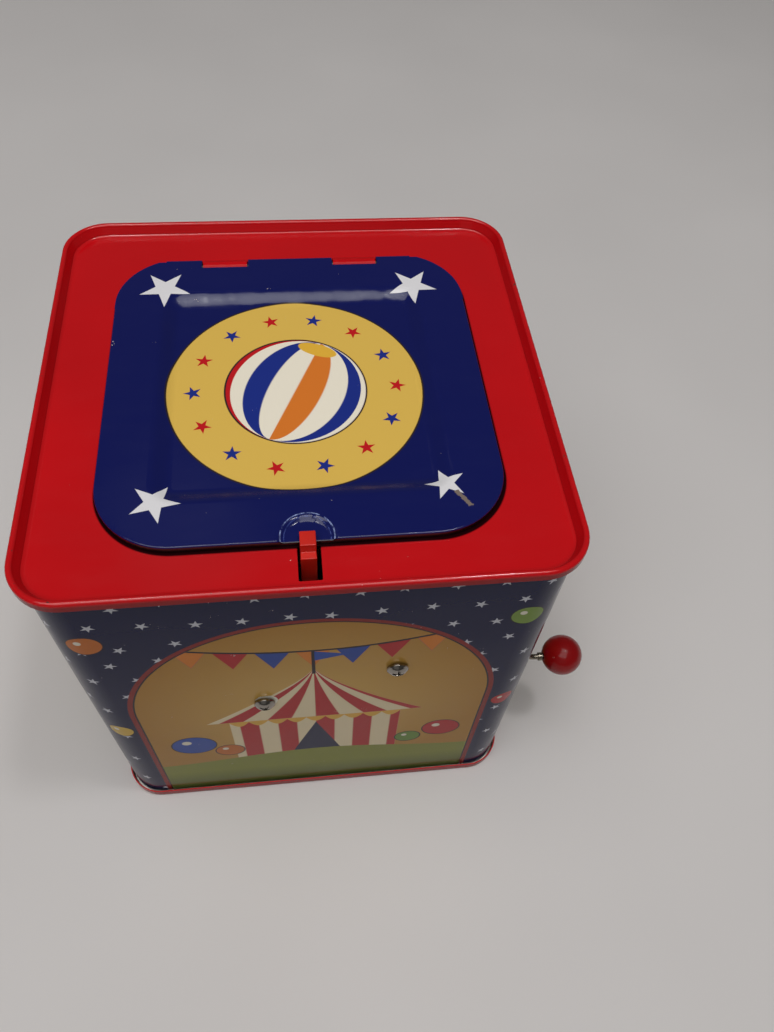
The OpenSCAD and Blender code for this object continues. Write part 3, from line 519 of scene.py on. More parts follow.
# %% Red enamel
RED_ENAMEL = "#c20b13"
RED_SHADE = "#3c0508"
WORN_EDGE = "#54322c"
BARE_TIN = "#7d6f66"
PALE_CHIP = "#d9c9c2"
# SHADOW_LINE_INK is a painted shadow along the lid's outline, on the red panel and on the lid's hem.
SHADOW_LINE_INK = "#1e0407"
SHADOW_LINE_WIDTH, SHADOW_LINE_BACK_Y = 0.85, 38.0
RIM_SHADOW_LINE_Z, HEM_SHADOW_LINE_Z = (141.0, 143.0), (140.0, 144.45)
RIM_CREST = 145.7
LID_OUTLINE = (52.2, -55.6, 52.2, 20.0)  # half width, front, back, corner
LID_OFF_CENTRE = 0.25


def past_lid_outline(place):
    """How far a place lies outside the lid's round-cornered outline; less than nothing inside it."""
    half, front, back, corner = LID_OUTLINE
    folded = vector("ABSOLUTE", vector("SUBTRACT", place, (LID_OFF_CENTRE, (front + back) / 2, 0)))
    over = vector("SUBTRACT", folded, (half - corner, (back - front) / 2 - corner, 0))
    outside = vector("MULTIPLY", vector("MAXIMUM", over, (0, 0, 0)), (1, 1, 0))
    return calc("SUBTRACT", vector("LENGTH", outside), corner)


def shadow_line(place, inner, outer, low, high):
    """A painted shadow: the dark line along the lid's outline, between two offsets and two heights."""
    past, at = past_lid_outline(place), xyz(place)
    return overlap(between(past, inner - 0.1, inner + 0.1), between(past, outer + 0.2, outer - 0.2),
                   between(at["Z"], low - 0.05, low + 0.05), between(at["Z"], high + 0.05, high - 0.05),
                   between(at["Y"], SHADOW_LINE_BACK_Y + 4, SHADOW_LINE_BACK_Y))


def make_red_enamel(name, shine):
    """Red tin: painted shade on its upright faces low down and a painted shadow line where the lid meets it; worn
    along the rim's crest.
    """
    new_material(name)
    place = object_mm()
    height, up = xyz(place)["Z"], facing_up()
    tone = between(grain(place, 45), 0.3, 0.7, 0.94, 1.05)
    crest = between(height, RIM_CREST - 0.2, RIM_CREST + 0.2)
    # Painted shade: upright faces below the rim's crest are darkened towards RED_SHADE.
    shade = overlap(between(up, 0.5, 0.1, 0.0, 0.6), between(height, RIM_CREST - 0.2, RIM_CREST - 1.4))
    # Painted shadow: a dark line on the red floor just outside the lid, with less gloss on it.
    shadow_mask = shadow_line(place, -0.5, SHADOW_LINE_WIDTH, *RIM_SHADOW_LINE_Z)
    ink = print_inks(scaled(linear(RED_ENAMEL)[:3], tone), [
        (shade, RED_SHADE), (overlap(crest, chips(place, 0.7, 0.42)), WORN_EDGE),
        (chips(place, 0.5, 0.53), PALE_CHIP), (shadow_mask, SHADOW_LINE_INK)])
    gloss = overlap(between(up, 0.2, 0.7, 0.12, shine), between(shadow_mask, 0, 1, 1.0, 0.1))
    return varnished(place, ink, gloss)


red_enamel = make_red_enamel("red_enamelled_tinplate", 0.5)
worn_red_enamel = make_red_enamel("worn_red_enamelled_tinplate", 0.14)
print("red enamel", RED_ENAMEL)

# %% [markdown]
# Inside, the sheet is not printed. Plain tinplate is a bright metal with fine rolling lines, so it is a metal with
# grey-white colour and noise drawn out along one axis.

# %% Bare tinplate
TINPLATE = "#c8c5bd"
ROLLING_LINE = 0.9

new_material("bare_rolled_tinplate")
rolling = grain(object_mm(), ROLLING_LINE, 3.0, (30, 1, 30))
bare_tinplate = surface(Base_Color=linear(TINPLATE), Metallic=1.0, Normal=bump(0.12, 0.05, rolling),
                        Roughness=between(rolling, 0.3, 0.7, 0.28, 0.42))
print("tinplate", TINPLATE)

# %% [markdown]
# ## Print motifs
# Flat ink shapes are masks worked out from a place in millimetres. A disc is a distance. A five-pointed star folds
# the angle round its centre into half a point, where its edge is one straight line.

# %% Motif masks
INK_EDGE = 0.12


def inked(value):
    """A sharp printed edge where a value passes nought."""
    return between(value, -INK_EDGE, INK_EDGE)


def offset_xy(x, y, centre):
    """x and y measured from a centre, as one flat vector."""
    return vector("SUBTRACT", combined(x, y), (*centre, 0))


def disc_mask(spot, radius, squash=(1, 1)):
    """A disc or an ellipse round the origin of spot."""
    away = vector("LENGTH", vector("MULTIPLY", spot, (1 / squash[0], 1 / squash[1], 0)))
    return between(away, radius + INK_EDGE, radius - INK_EDGE)


def star_mask(spot, radius, turn=0.0):
    """A five-pointed star round the origin of spot; turn is a number of degrees or a socket in radians."""
    point = math.radians(36)
    inner = radius * math.cos(2 * point) / math.cos(point)
    lean = math.atan2(radius - inner * math.cos(point), inner * math.sin(point))
    at = xyz(spot)
    start = math.radians(turn) if isinstance(turn, (int, float)) else turn
    turned = calc("ADD", calc("ARCTAN2", at["X"], at["Y"]), start)
    aslant = calc("COSINE", calc("SUBTRACT", calc("PINGPONG", turned, point), lean))
    edge = radius * math.cos(lean)
    return between(calc("MULTIPLY", vector("LENGTH", spot), aslant), edge + INK_EDGE / 2, edge - INK_EDGE / 2)


print("printed edges are", 2 * INK_EDGE, "mm soft")

# %% [markdown]
# ## The lid's print
# Navy ground, a yellow disc with a thin dark line round it, and a white star in each corner. In the disc lies a
# striped play ball inside a ring of small stars: plain fairground ornament. The print is a little worn: a scratch,
# a rubbed arc on the dent with a painted highlight on it, and chips. The hem carries a painted shadow along the edge.

# %% Lid print
LID_NAVY = "#0c1455"
LID_YELLOW = "#e2ba56"
LINE_INK = "#2a2026"
STAR_WHITE = "#e4e2e4"
LID_DISC, LID_DISC_R, LID_LINE = (-0.5, -3.4), 35.5, 0.5
LID_STARS = (
    # centre, radius, turn in degrees
    ((-38.0, 38.2), 7.8, 36), ((37.2, 36.8), 7.7, 37), ((-37.1, -41.8), 6.6, -24.7), ((36.4, -40.4), 5.5, 11.8))
BALL_R, BALL_TURN = 19.5, 24
BALL_INKS = ("#c4171f", "#f3ead6", "#1c2f86", "#f3ead6", "#dd7a2b", "#f3ead6", "#1c2f86", "#f3ead6")
BALL_CAP = "#e8b53e"
RING_STARS, RING_R, RING_STAR_R = 14, 28.5, 2.6
RING_INKS = ("#c4171f", "#1c2f86")
DENT_SPOT = (0.1, -54.2)
# Painted highlight and rubbed wear: pale arcs along the edge of the latch's dent.
DENT_HIGHLIGHT_AND_RUB_ARCS = (
    # radius, width, size of its gaps, ink
    (6.7, 0.22, 1.6, "#9fb0e0"), (5.8, 0.16, 0.9, "#46569c"))
SCRATCH_SPOT, SCRATCH_TURN, SCRATCH_LENGTH, SCRATCH_WIDTH = (38.6, -43.0), -58, 6.0, 1.2


def striped_ball(spot, radius, turn):
    """Layers for a play ball seen from the side: meridian stripes that crowd towards its edge."""
    rotated = turned_flat(spot, math.radians(turn))
    at = xyz(rotated)
    half = calc("SQRT", calc("SUBTRACT", radius ** 2 + 0.01, calc("MULTIPLY", at["Y"], at["Y"])))
    panels = len(BALL_INKS)
    panel = calc("MULTIPLY", calc("ARCSINE", calc("DIVIDE", at["X"], half)), panels / math.pi)
    inside = disc_mask(spot, radius)
    layers = [(disc_mask(spot, radius + LID_LINE), LINE_INK), (inside, BALL_INKS[0])]
    for k in range(1, panels):
        edge = k - panels / 2
        layers.append((overlap(inside, between(panel, edge - 0.03, edge + 0.03)), BALL_INKS[k]))
    cap = vector("SUBTRACT", rotated, (0, 0.86 * radius, 0))
    return layers + [(disc_mask(cap, 0.20 * radius, (1.5, 0.6)), BALL_CAP)]


def star_ring(spot, count, ring, radius, colours):
    """Small stars round a circle, in turn of two colours."""
    at, step = xyz(spot), math.tau / count
    number = calc("ROUND", calc("MULTIPLY", calc("ARCTAN2", at["Y"], at["X"]), 1 / step))
    unrolled = turned_flat(spot, calc("MULTIPLY", number, -step))
    mask = star_mask(vector("SUBTRACT", unrolled, (ring, 0, 0)), radius, -90)
    return [(mask, colours[0]), (overlap(mask, calc("FLOORED_MODULO", number, 2.0)), colours[1])]


def highlight_and_rub_arc(spot, radius, width, size):
    """A broken line along a circle: a painted highlight on the dent's edge, partly a scuff where it is rubbed."""
    off = calc("ABSOLUTE", calc("SUBTRACT", vector("LENGTH", spot), radius))
    return overlap(between(off, width, 0.3 * width), between(grain(spot, size, 3.0), 0.38, 0.62))


def scratch(spot, angle, length, width):
    """A straight scratch through the ink, with ragged sides, from the origin of spot."""
    ragged = vector("SUBTRACT", grain(spot, 0.8).outputs["Color"], (0.5, 0.5, 0.5))
    at = xyz(vector("ADD", scaled(ragged, 1.2), turned_flat(spot, math.radians(-angle))))
    return overlap(between(calc("ABSOLUTE", at["Y"]), width / 2 + 0.1, width / 2 - 0.1),
                   between(at["X"], -0.1, 0.1), between(at["X"], length + 0.1, length - 0.1))


new_material("varnished_litho_tin_lid")
lid_place = object_mm()
lid_at = xyz(lid_place)
disc_spot, dent_spot, scratch_spot = (offset_xy(lid_at["X"], lid_at["Y"], spot)
                                      for spot in (LID_DISC, DENT_SPOT, SCRATCH_SPOT))
lid_layers = [(disc_mask(disc_spot, LID_DISC_R + LID_LINE), LINE_INK),
              (disc_mask(disc_spot, LID_DISC_R), LID_YELLOW)]
lid_layers += [(star_mask(offset_xy(lid_at["X"], lid_at["Y"], centre), radius, turn), STAR_WHITE)
               for centre, radius, turn in LID_STARS]
lid_layers += star_ring(disc_spot, RING_STARS, RING_R, RING_STAR_R, RING_INKS)
lid_layers += striped_ball(disc_spot, BALL_R, BALL_TURN)
lid_layers.append((scratch(scratch_spot, SCRATCH_TURN, SCRATCH_LENGTH, SCRATCH_WIDTH), BARE_TIN))
# Painted highlight, partly real rubbing, on the dent's edge.
lid_layers += [(highlight_and_rub_arc(dent_spot, radius, width, size), ink) for radius, width, size, ink in DENT_HIGHLIGHT_AND_RUB_ARCS]
# Painted shadow: the hem's upright face along the lid's outline is darkened to near black.
lid_layers += [(chips(lid_place, 0.5, 0.52), PALE_CHIP), (shadow_line(lid_place, -0.3, 1, *HEM_SHADOW_LINE_Z), SHADOW_LINE_INK)]
lid_litho = varnished(lid_place, print_inks(LID_NAVY, lid_layers), pucker=0.9)
print("lid print has", len(lid_litho.node_tree.nodes), "nodes")

# %% [markdown]
# ## The print on the body
# The four walls carry one fairground scene each: a navy ground strewn with small stars, a tan arch with a striped
# tent under a row of pennants, play balls, and a green meadow. A wall is curved at its corners, so the print is
# laid on a map of its own: along the sheet for x, height for y, both in metres.

# %% Body print
# WALL_PAINTED_SHADE is painted shade: the whole wall print is darkened, because upright walls get less light than the
# top.
WALL_GLOSS, WALL_PAINTED_SHADE = 0.1, 0.74
BODY_NAVY, BODY_STAR = "#0c1240", "#cfd0d8"
STAR_STEP, STAR_R = 12.0, 1.9
ARCH_TAN, ARCH_LIGHT, ARCH_BORDER = "#b58437", "#cfa556", "#8e2a24"
ARCH_HALF, ARCH_CENTRE_Z = 53.0, 72.0
MEADOW_GREEN, MEADOW_DARK, MEADOW_Z = "#8b8f3a", "#5f6a2c", 33.0
TENT_RED, TENT_CREAM, TENT_FRINGE, TENT_DOOR, FLAG_BLUE = "#b8262a", "#ead9b4", "#e3b04a", "#1a1e46", "#2e4fa6"
TENT_HALF, TENT_WALL_Z, TENT_TOP_Z = 27.0, 62.0, 98.0
TENT_STRIPES = 9
PENNANT_STEP, PENNANT_LEN, PENNANT_Z = 11.0, 10.0, 118.0
PENNANT_INKS = ("#b8262a", "#2b4a9c", "#d9812f")
BALL_GLOSS = "#e9e2cf"
PLAY_BALLS = (
    # place along the wall, height, radius, ink
    (-40, 45, 7.0, "#2e4fa6"), (-29, 38, 4.6, "#c8702b"), (42, 43, 6.2, "#b8262a"), (31, 37, 4.2, "#6f8f3f"),
    (-57, 121, 4.4, "#c8702b"), (57, 121, 4.4, "#7f9a45"), (-60, 62, 3.8, "#d8b24a"), (60, 64, 3.8, "#b8262a"))


def starry(x, y, step, radius):
    """A field of small stars in staggered rows, each turned and shifted its own way."""
    tall = step * 0.86
    row = calc("FLOOR", calc("DIVIDE", y, tall))
    stagger = calc("MULTIPLY_ADD", row, step * 0.5, x)
    column = calc("FLOOR", calc("DIVIDE", stagger, step))
    chance = add_node("TexWhiteNoise", {"Vector": combined(column, row)}, noise_dimensions="3D")
    local = offset_xy(calc("WRAP", stagger, step, 0.0), calc("WRAP", y, tall, 0.0), (step * 0.5, step * 0.43))
    shift = scaled(vector("SUBTRACT", chance.outputs["Color"], (0.5, 0.5, 0.5)), step * 0.25)
    spot = vector("MULTIPLY", vector("SUBTRACT", local, shift), (1, 1, 0))
    return star_mask(spot, radius, calc("MULTIPLY", chance.outputs["Value"], math.tau))


def under_line(y, line):
    """A mask of everything below a height, which may be a socket."""
    return inked(calc("SUBTRACT", line, y))


def over_line(y, line):
    """A mask of everything above a height."""
    return calc("SUBTRACT", 1.0, under_line(y, line))


def arch_mask(x, y, grow):
    """A doorway shape: straight sides under a half circle."""
    return disc_mask(combined(x, calc("MAXIMUM", calc("SUBTRACT", y, ARCH_CENTRE_Z), 0.0)), ARCH_HALF + grow)


def tent_layers(x, y):
    """The tent: striped wall and roof, a dark door, a scalloped edge and a flag."""
    aside = calc("ABSOLUTE", x)
    on_wall = overlap(between(aside, TENT_HALF + INK_EDGE, TENT_HALF - INK_EDGE), under_line(y, TENT_WALL_Z))
    slope = calc("POWER", calc("SUBTRACT", 1.0, between(y, TENT_WALL_Z, TENT_TOP_Z)), 1.35)
    eave = calc("MULTIPLY", slope, TENT_HALF + 7)
    on_roof = overlap(inked(calc("SUBTRACT", eave, aside)), over_line(y, TENT_WALL_Z), under_line(y, TENT_TOP_Z))
    half = TENT_STRIPES / 2
    wall_share = calc("MULTIPLY_ADD", x, half / TENT_HALF, half + 20)
    roof_share = calc("MULTIPLY_ADD", calc("DIVIDE", x, eave), half, half + 20)
    wall_red, roof_red = (between(calc("PINGPONG", share, 1.0), 0.47, 0.53) for share in (wall_share, roof_share))
    door_side = calc("MULTIPLY_ADD", y, -0.32, 0.32 * TENT_WALL_Z - 1.5)
    bow = calc("SINE", calc("MULTIPLY", calc("FRACT", wall_share), math.pi))
    fringe = over_line(y, calc("MULTIPLY_ADD", bow, -3.2, TENT_WALL_Z - 0.6))
    pole = overlap(between(aside, 0.6, 0.4), under_line(y, TENT_TOP_Z + 11), over_line(y, TENT_TOP_Z - 4))
    flag_half = calc("MULTIPLY_ADD", x, -0.30, 3.0)
    flag_away = calc("ABSOLUTE", calc("SUBTRACT", y, TENT_TOP_Z + 7.6))
    flag = overlap(inked(calc("SUBTRACT", flag_half, flag_away)), between(x, 0.2, 0.45))
    return [(on_wall, TENT_CREAM), (overlap(on_wall, wall_red), TENT_RED),
            (overlap(on_wall, inked(calc("SUBTRACT", door_side, aside))), TENT_DOOR),
            (overlap(on_wall, fringe), TENT_FRINGE), (on_roof, TENT_CREAM), (overlap(on_roof, roof_red), TENT_RED),
            (pole, LINE_INK), (flag, FLAG_BLUE)]


def pennant_layers(x, y):
    """A string of pennants that sags between the arch's shoulders, in turn of three inks."""
    down = calc("SUBTRACT", calc("MULTIPLY_ADD", calc("MULTIPLY", x, x), 0.0042, PENNANT_Z - 9), y)
    in_step = calc("WRAP", x, PENNANT_STEP / 2, -PENNANT_STEP / 2)
    half = 0.5 * PENNANT_STEP * 0.86
    slack = calc("MULTIPLY_ADD", down, -half / PENNANT_LEN, half)
    hangs = overlap(inked(calc("SUBTRACT", slack, calc("ABSOLUTE", in_step))), inked(down))
    number = calc("FLOOR", calc("MULTIPLY_ADD", x, 1 / PENNANT_STEP, 20.5))
    odd = calc("FLOORED_MODULO", number, 2.0)
    third = calc("GREATER_THAN", calc("FLOORED_MODULO", number, 3.0), 1.5)
    layers = [(hangs, PENNANT_INKS[0]), (overlap(hangs, odd), PENNANT_INKS[1]),
              (overlap(hangs, third), PENNANT_INKS[2])]
    return layers + [(between(calc("ABSOLUTE", down), 0.55, 0.35), LINE_INK)]


def ball_layers(x, y):
    """Plain play balls, each with a pale gloss spot printed on it."""
    layers = []
    for side, height, radius, ink in PLAY_BALLS:
        spot = offset_xy(x, y, (side, height))
        gloss = offset_xy(x, y, (side - 0.3 * radius, height + 0.35 * radius))
        layers += [(disc_mask(spot, radius + 0.4), LINE_INK), (disc_mask(spot, radius), ink),
                   (disc_mask(gloss, 0.22 * radius), BALL_GLOSS)]
    return layers


new_material("varnished_litho_tin_body")
body_place = object_mm()
on_sheet = xyz(scaled(add_node("UVMap", uv_map="print_map"), 1 / MM))
wall = on_sheet["X"], on_sheet["Y"]
inside_arch = arch_mask(*wall, 0.0)
glow = vector("LENGTH", offset_xy(*wall, (0, 70)))
arch_ink = print_inks(ARCH_LIGHT, [(between(glow, 18, 54), ARCH_TAN)])
meadow_line = calc("MULTIPLY_ADD", calc("COSINE", calc("MULTIPLY", wall[0], 0.06)), 3.0, MEADOW_Z - 3)
body_layers = [(starry(*wall, STAR_STEP, STAR_R), BODY_STAR), (arch_mask(*wall, 2.0), ARCH_BORDER),
               (arch_mask(*wall, 0.5), LINE_INK), (inside_arch, arch_ink)]
body_layers += [(overlap(inside_arch, mask), ink) for mask, ink in pennant_layers(*wall)] + tent_layers(*wall)
body_layers += [(overlap(inside_arch, under_line(wall[1], meadow_line)), MEADOW_GREEN),
                (overlap(inside_arch, between(wall[1], MEADOW_Z - 14, MEADOW_Z - 26)), MEADOW_DARK)]
body_layers += ball_layers(*wall) + [(chips(body_place, 0.5, 0.50), PALE_CHIP)]
# Painted shade: the wall print is scaled down as a whole.
body_litho = varnished(body_place, scaled(print_inks(BODY_NAVY, body_layers), WALL_PAINTED_SHADE), WALL_GLOSS)
print("body print has", len(body_litho.node_tree.nodes), "nodes")

# %% [markdown]
# ## The body shell
# The walls are one strip of printed tin, bent round four corners. A round-cornered blank without its face is that
# strip seen from above; its edge is drawn up to the height of the rim, cut into a net, and pushed in here and there
# by a fraction of a millimetre, because thin sheet between two rims is never flat.

# %% Body shell
body_low, body_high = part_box("body_shell")
BODY_HALF, BODY_CORNER = body_high.x / MM, 11.0
BODY_LOW_Z, BODY_TOP_Z = body_low.z / MM, 143.05
BODY_TALL, FLAT_HALF = BODY_TOP_Z - BODY_LOW_Z, BODY_HALF - BODY_CORNER
SHEET = 0.4
NET_STEP = 4.0
WALL_SLACK, SLACK_WAVE = 0.35, 34
SIDE_FADE, END_FADE, END_CLEAR = 18, 20, 4
SCREW_SPOTS = ((-15, 76.8), (23.9, 94.4))
SCREW_DIMPLE_R, SCREW_DIMPLE = 9.0, 0.2

shell = cut_blank("printed_body", 2 * BODY_HALF, 2 * BODY_HALF, BODY_CORNER, BODY_LOW_Z, steps=16)
bpy.ops.mesh.delete(type="ONLY_FACE")
bpy.ops.mesh.select_all(action="SELECT")
lift(BODY_TALL)
rows, columns = int(BODY_TALL / NET_STEP), int(2 * FLAT_HALF / NET_STEP)
for row in range(1, rows):
    bisect((0, 0, BODY_LOW_Z + BODY_TALL * row / rows), (0, 0, 1))
cuts = [2 * FLAT_HALF * column / columns - FLAT_HALF for column in range(1, columns)]
cut_lines(xs=cuts, ys=cuts)
bpy.ops.mesh.select_all(action="SELECT")
bpy.ops.mesh.normals_make_consistent(inside=False)


def slack_wall(spot):
    """Pushes a wall in by the slack of thin sheet, fading out at the rims and the corners."""
    x, y, z = spot
    side = max(abs(x), abs(y))
    if side < BODY_HALF - 0.1:
        return spot
    fade = min(1.0, max(0.0, (FLAT_HALF - min(abs(x), abs(y))) / SIDE_FADE))
    fade *= min(1.0, max(0.0, (min(z - BODY_LOW_Z, BODY_TOP_Z - z) - END_CLEAR) / END_FADE))
    inwards = WALL_SLACK * fade * (0.5 + 0.5 * noise.noise(spot / SLACK_WAVE + Vector((3, 1, 7))))
    if y < -FLAT_HALF:
        for screw_x, screw_z in SCREW_SPOTS:
            away = math.hypot(x - screw_x, z - screw_z) / SCREW_DIMPLE_R
            inwards += SCREW_DIMPLE * math.exp(-away * away)
    scale = 1 - inwards / side
    return x * scale if abs(x) == side else x, y * scale if abs(y) == side else y, z


move_verts(shell, slack_wall)

print_map = shell.data.uv_layers.new(name="print_map")
for face in shell.data.polygons:
    middle = face.center / MM
    turn = round(math.degrees(math.atan2(middle.x, -middle.y)) / 90) * 90
    if abs(abs(middle.x) - abs(middle.y)) < 0.01:
        turn = 0
    for loop in face.loop_indices:
        spot = shell.data.vertices[shell.data.loops[loop].vertex_index].co / MM
        spot = Matrix.Rotation(math.radians(-turn), 3, "Z") @ spot
        over = abs(spot.x) - FLAT_HALF
        if over > 0:
            bend = math.atan2(over, -spot.y - FLAT_HALF)
            spot.x = math.copysign(FLAT_HALF + BODY_CORNER * bend, spot.x)
        print_map.data[loop].uv = (spot.x * MM, spot.z * MM)

dress(shell, body_litho, bare_tinplate)
thicken(shell, SHEET, material_offset=1, material_offset_rim=1)
finish_piece(shell, "box", None, "body_shell")

# %% [markdown]
# ## The red top and its rolled rim
# The top panel is one pressing: up the outside of the rim, over its round crest, down to a sunk floor. From the
# outside in, that is a profile of insets. The opening, the latch's slot and the hinge's windows are then cut with
# boolean solids, as a punch does.

# %% Top panel
top_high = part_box("top_panel")[1]
RIM_HALF, RIM_CORNER, RIM_R, RIM_HEIGHT = top_high.x / MM, 13.1, 0.85, 3.1
FLOOR_Z = top_high.z / MM - 3.9
RIM_TOP_Z = FLOOR_Z + 3.4
RIM_FOOT = ((2.6, 0.9), (2.8, 0.4), (3.2, 0.12), (3.9, 0.0))  # distance in, height over the floor
MOUTH_W, MOUTH_D, MOUTH_CORNER, MOUTH_Y = 92.0, 94.0, 15.0, -3.0
SLOT = (-2.6, -65.7, 3.2, -55.9)
HINGE_Y, HINGE_Z = 49.6, 143.1
CURL_BACK = 0.9
WINDOW_HALF, WINDOW_Y, WINDOW_BACK_Y = 38.55, 43.0, 51.7 + CURL_BACK
CORNER_WINDOW, CORNER_WINDOW_Y, CORNER_LAP = 4.1, 51.9, 0.5
TABS = ((-26.95, -13.45), (13.45, 26.95))
TAB_FOOT_Y, TAB_CLEAR = 54.0, 0.4
EDGE_BREAK = 0.12
PUNCH_DEPTH = 2


def punch(name, x0, y0, x1, y1, corner=0.01, up=PUNCH_DEPTH):
    """A solid to cut the panel's floor with, between two corners; its upright edges are rounded by corner."""
    block = cut_blank(name, x1 - x0, y1 - y0, corner, FLOOR_Z - PUNCH_DEPTH, (y0 + y1) / 2)
    lift(PUNCH_DEPTH + up)
    bpy.ops.mesh.select_all(action="SELECT")
    bpy.ops.transform.translate(value=((x0 + x1) / 2 * MM, 0, 0))
    bpy.ops.mesh.normals_make_consistent(inside=False)
    edit_done()
    return block


def cut_with(piece, tools):
    """Takes each tool's volume out of the piece and removes the tools."""
    for tool in tools:
        use_modifier(piece, "BOOLEAN", operation="DIFFERENCE", object=tool, solver="EXACT")
        bpy.data.objects.remove(tool)


top = cut_blank("red_top", 2 * RIM_HALF, 2 * RIM_HALF, RIM_CORNER, RIM_TOP_Z - RIM_HEIGHT)
press([(0.0, RIM_TOP_Z - RIM_HEIGHT)] + roll(RIM_R, RIM_TOP_Z - RIM_R, RIM_R, 0, 180, 12)
      + [(edge, FLOOR_Z + over) for edge, over in RIM_FOOT])
edit_done()
thicken(top, SHEET)
cutters = [punch("mouth", -MOUTH_W / 2, MOUTH_Y - MOUTH_D / 2, MOUTH_W / 2, MOUTH_Y + MOUTH_D / 2, MOUTH_CORNER),
           punch("slot", *SLOT, 0.4),
           punch("window", -WINDOW_HALF, WINDOW_Y, WINDOW_HALF, WINDOW_BACK_Y, 0.3)]
cutters += [punch("tab_window", x0, WINDOW_Y, x1, TAB_FOOT_Y - TAB_CLEAR, 0.1) for x0, x1 in TABS]
# The lid's rear corners swing down beside the outer curls
cutters += [punch("corner_window", x0, WINDOW_Y, x0 + CORNER_WINDOW, CORNER_WINDOW_Y, 0.5)
            for x0 in (-WINDOW_HALF - CORNER_WINDOW + CORNER_LAP, WINDOW_HALF - CORNER_LAP)]
cut_with(top, cutters)
soften(top, EDGE_BREAK)
finish_piece(top, "box", red_enamel, "top_panel")

# %% [markdown]
# The opening's stiffening lip is a thin upright band on the panel, and the two red tabs of the hinge rise from it,
# lean forward and curl round the pin. An edge that is spun about the pin draws exactly that curl.

# %% Opening lip and hinge tabs
LIP_HEIGHT, LIP_ROUND = 0.7, 0.1
LIP_SLOT_Y, LIP_WINDOW_Y = -60, 60
PIN_R, PIN_PLAY = 1.25, 0.05
CURL_R = PIN_R + PIN_PLAY + SHEET
TAB_SLOPE, TAB_CURL, TAB_STEPS = math.radians(60.0), 250.0, 20
STRIP_WIDTH = 0.1


def edge_along_x(name, x0, x1, y, z):
    """One straight edge along X, in edit mode and selected, to be spun or extruded."""
    start_clean()
    bpy.ops.mesh.primitive_plane_add(size=1, location=((x0 + x1) / 2 * MM, y * MM, z * MM))
    bpy.context.object.scale = ((x1 - x0) * MM, STRIP_WIDTH * MM, 1)
    strip = new_object(name)
    select_where(strip, "verts", lambda spot: spot.y > y)
    bpy.ops.mesh.delete(type="VERT")
    bpy.ops.mesh.select_all(action="SELECT")
    bpy.ops.transform.translate(value=(0, STRIP_WIDTH / 2 * MM, 0))
    return strip


def turn_outwards(piece):
    """Makes the faces of a curl look away from the hinge's pin."""
    edit_done()
    axis = Vector((0, HINGE_Y, HINGE_Z)) * MM
    if sum(face.normal.dot(face.center - axis) for face in piece.data.polygons) < 0:
        edit_all()
        bpy.ops.mesh.flip_normals()
        edit_done()


def spin_x(turn, y, z, steps):
    """Spins the selected edge about an axis along X; a positive turn goes from the top back to +Y."""
    bpy.ops.mesh.spin(steps=steps, angle=math.radians(turn), center=(0, y * MM, z * MM), axis=(1, 0, 0))


lip = cut_blank("mouth_lip", MOUTH_W + 2 * SHEET, MOUTH_D + 2 * SHEET, MOUTH_CORNER + SHEET, FLOOR_Z - SHEET / 2,
                MOUTH_Y)
press([(edge, FLOOR_Z + over) for edge, over in (
    (0, -SHEET / 2), (0, LIP_HEIGHT - LIP_ROUND), (LIP_ROUND, LIP_HEIGHT), (SHEET - LIP_ROUND, LIP_HEIGHT),
    (SHEET, LIP_HEIGHT - LIP_ROUND))])
lift(-LIP_HEIGHT - SHEET)
bpy.ops.mesh.delete(type="FACE")
edit_done()
cut_with(lip, [punch("lip_window", -WINDOW_HALF, WINDOW_Y - 1, WINDOW_HALF, LIP_WINDOW_Y, up=3),
               punch("lip_slot", SLOT[0], LIP_SLOT_Y, SLOT[2], SLOT[3], up=3)])
finish_piece(lip, "box", red_enamel)

tabs = []
for x0, x1 in TABS:
    tab = edge_along_x("hinge_tab", x0, x1, TAB_FOOT_Y, FLOOR_Z)
    rise = Vector((0, HINGE_Y + CURL_R * math.cos(TAB_SLOPE) - TAB_FOOT_Y,
                   HINGE_Z + CURL_R * math.sin(TAB_SLOPE) - FLOOR_Z))
    bpy.ops.mesh.extrude_edges_move(TRANSFORM_OT_translate={"value": rise * MM})
    spin_x(-TAB_CURL, HINGE_Y, HINGE_Z, TAB_STEPS)
    bpy.ops.mesh.select_all(action="SELECT")
    bpy.ops.mesh.remove_doubles(threshold=0.01 * MM)
    turn_outwards(tab)
    thicken(tab, SHEET)
    soften(tab, EDGE_BREAK)
    tabs.append(tab)
finish_piece(join(tabs, "hinge_tabs"), "box", worn_red_enamel)

# %% [markdown]
# ## The lid
# The lid is a deeper pressing of the same kind: a rolled hem, a flat margin, a soft step down to a sunk panel. At
# the back its hem stops and the bare sheet runs to three curls on the hinge pin. At the front a half-round dent
# gives the latch its seat.

# %% Lid
LID_HALF_X, LID_FRONT_Y, LID_BACK_Y, LID_CORNER = LID_OUTLINE
LID_TOP_Z = 144.8
HEM_R, HEM_HEIGHT, HEM_END_Y, HEM_RUN, HEM_WIDTH = 0.4, 1.8, 29.6, 0.7, 1.2
DENT_CLEAR = 0.15
MARGIN_EDGE, STEP_START, STEP_END, STEP_COUNT = 3.0, 12.6, 18.9, 10
RECESS_DEPTH, RECESS_BACK_IN = 2.2, 2.5
DENT_X, DENT_R, DENT_DEPTH, DENT_RUN, DENT_NET = 0.1, 6.9, 0.9, 1.2, 0.5
CURLS = ((-38.1, -27.3), (-13.1, 13.1), (27.3, 38.1))
CURL_GAP, LID_CURL, LID_CURL_STEPS = 0.35, 205, 24
NOTCH_FRONT_Y = HINGE_Y - CURL_R - CURL_GAP
NOTCH = (TABS[1][0] - CURL_GAP, TABS[1][1] + CURL_GAP)


def ease(share):
    """A smooth step from 0 to 1."""
    return share * share * (3 - 2 * share)


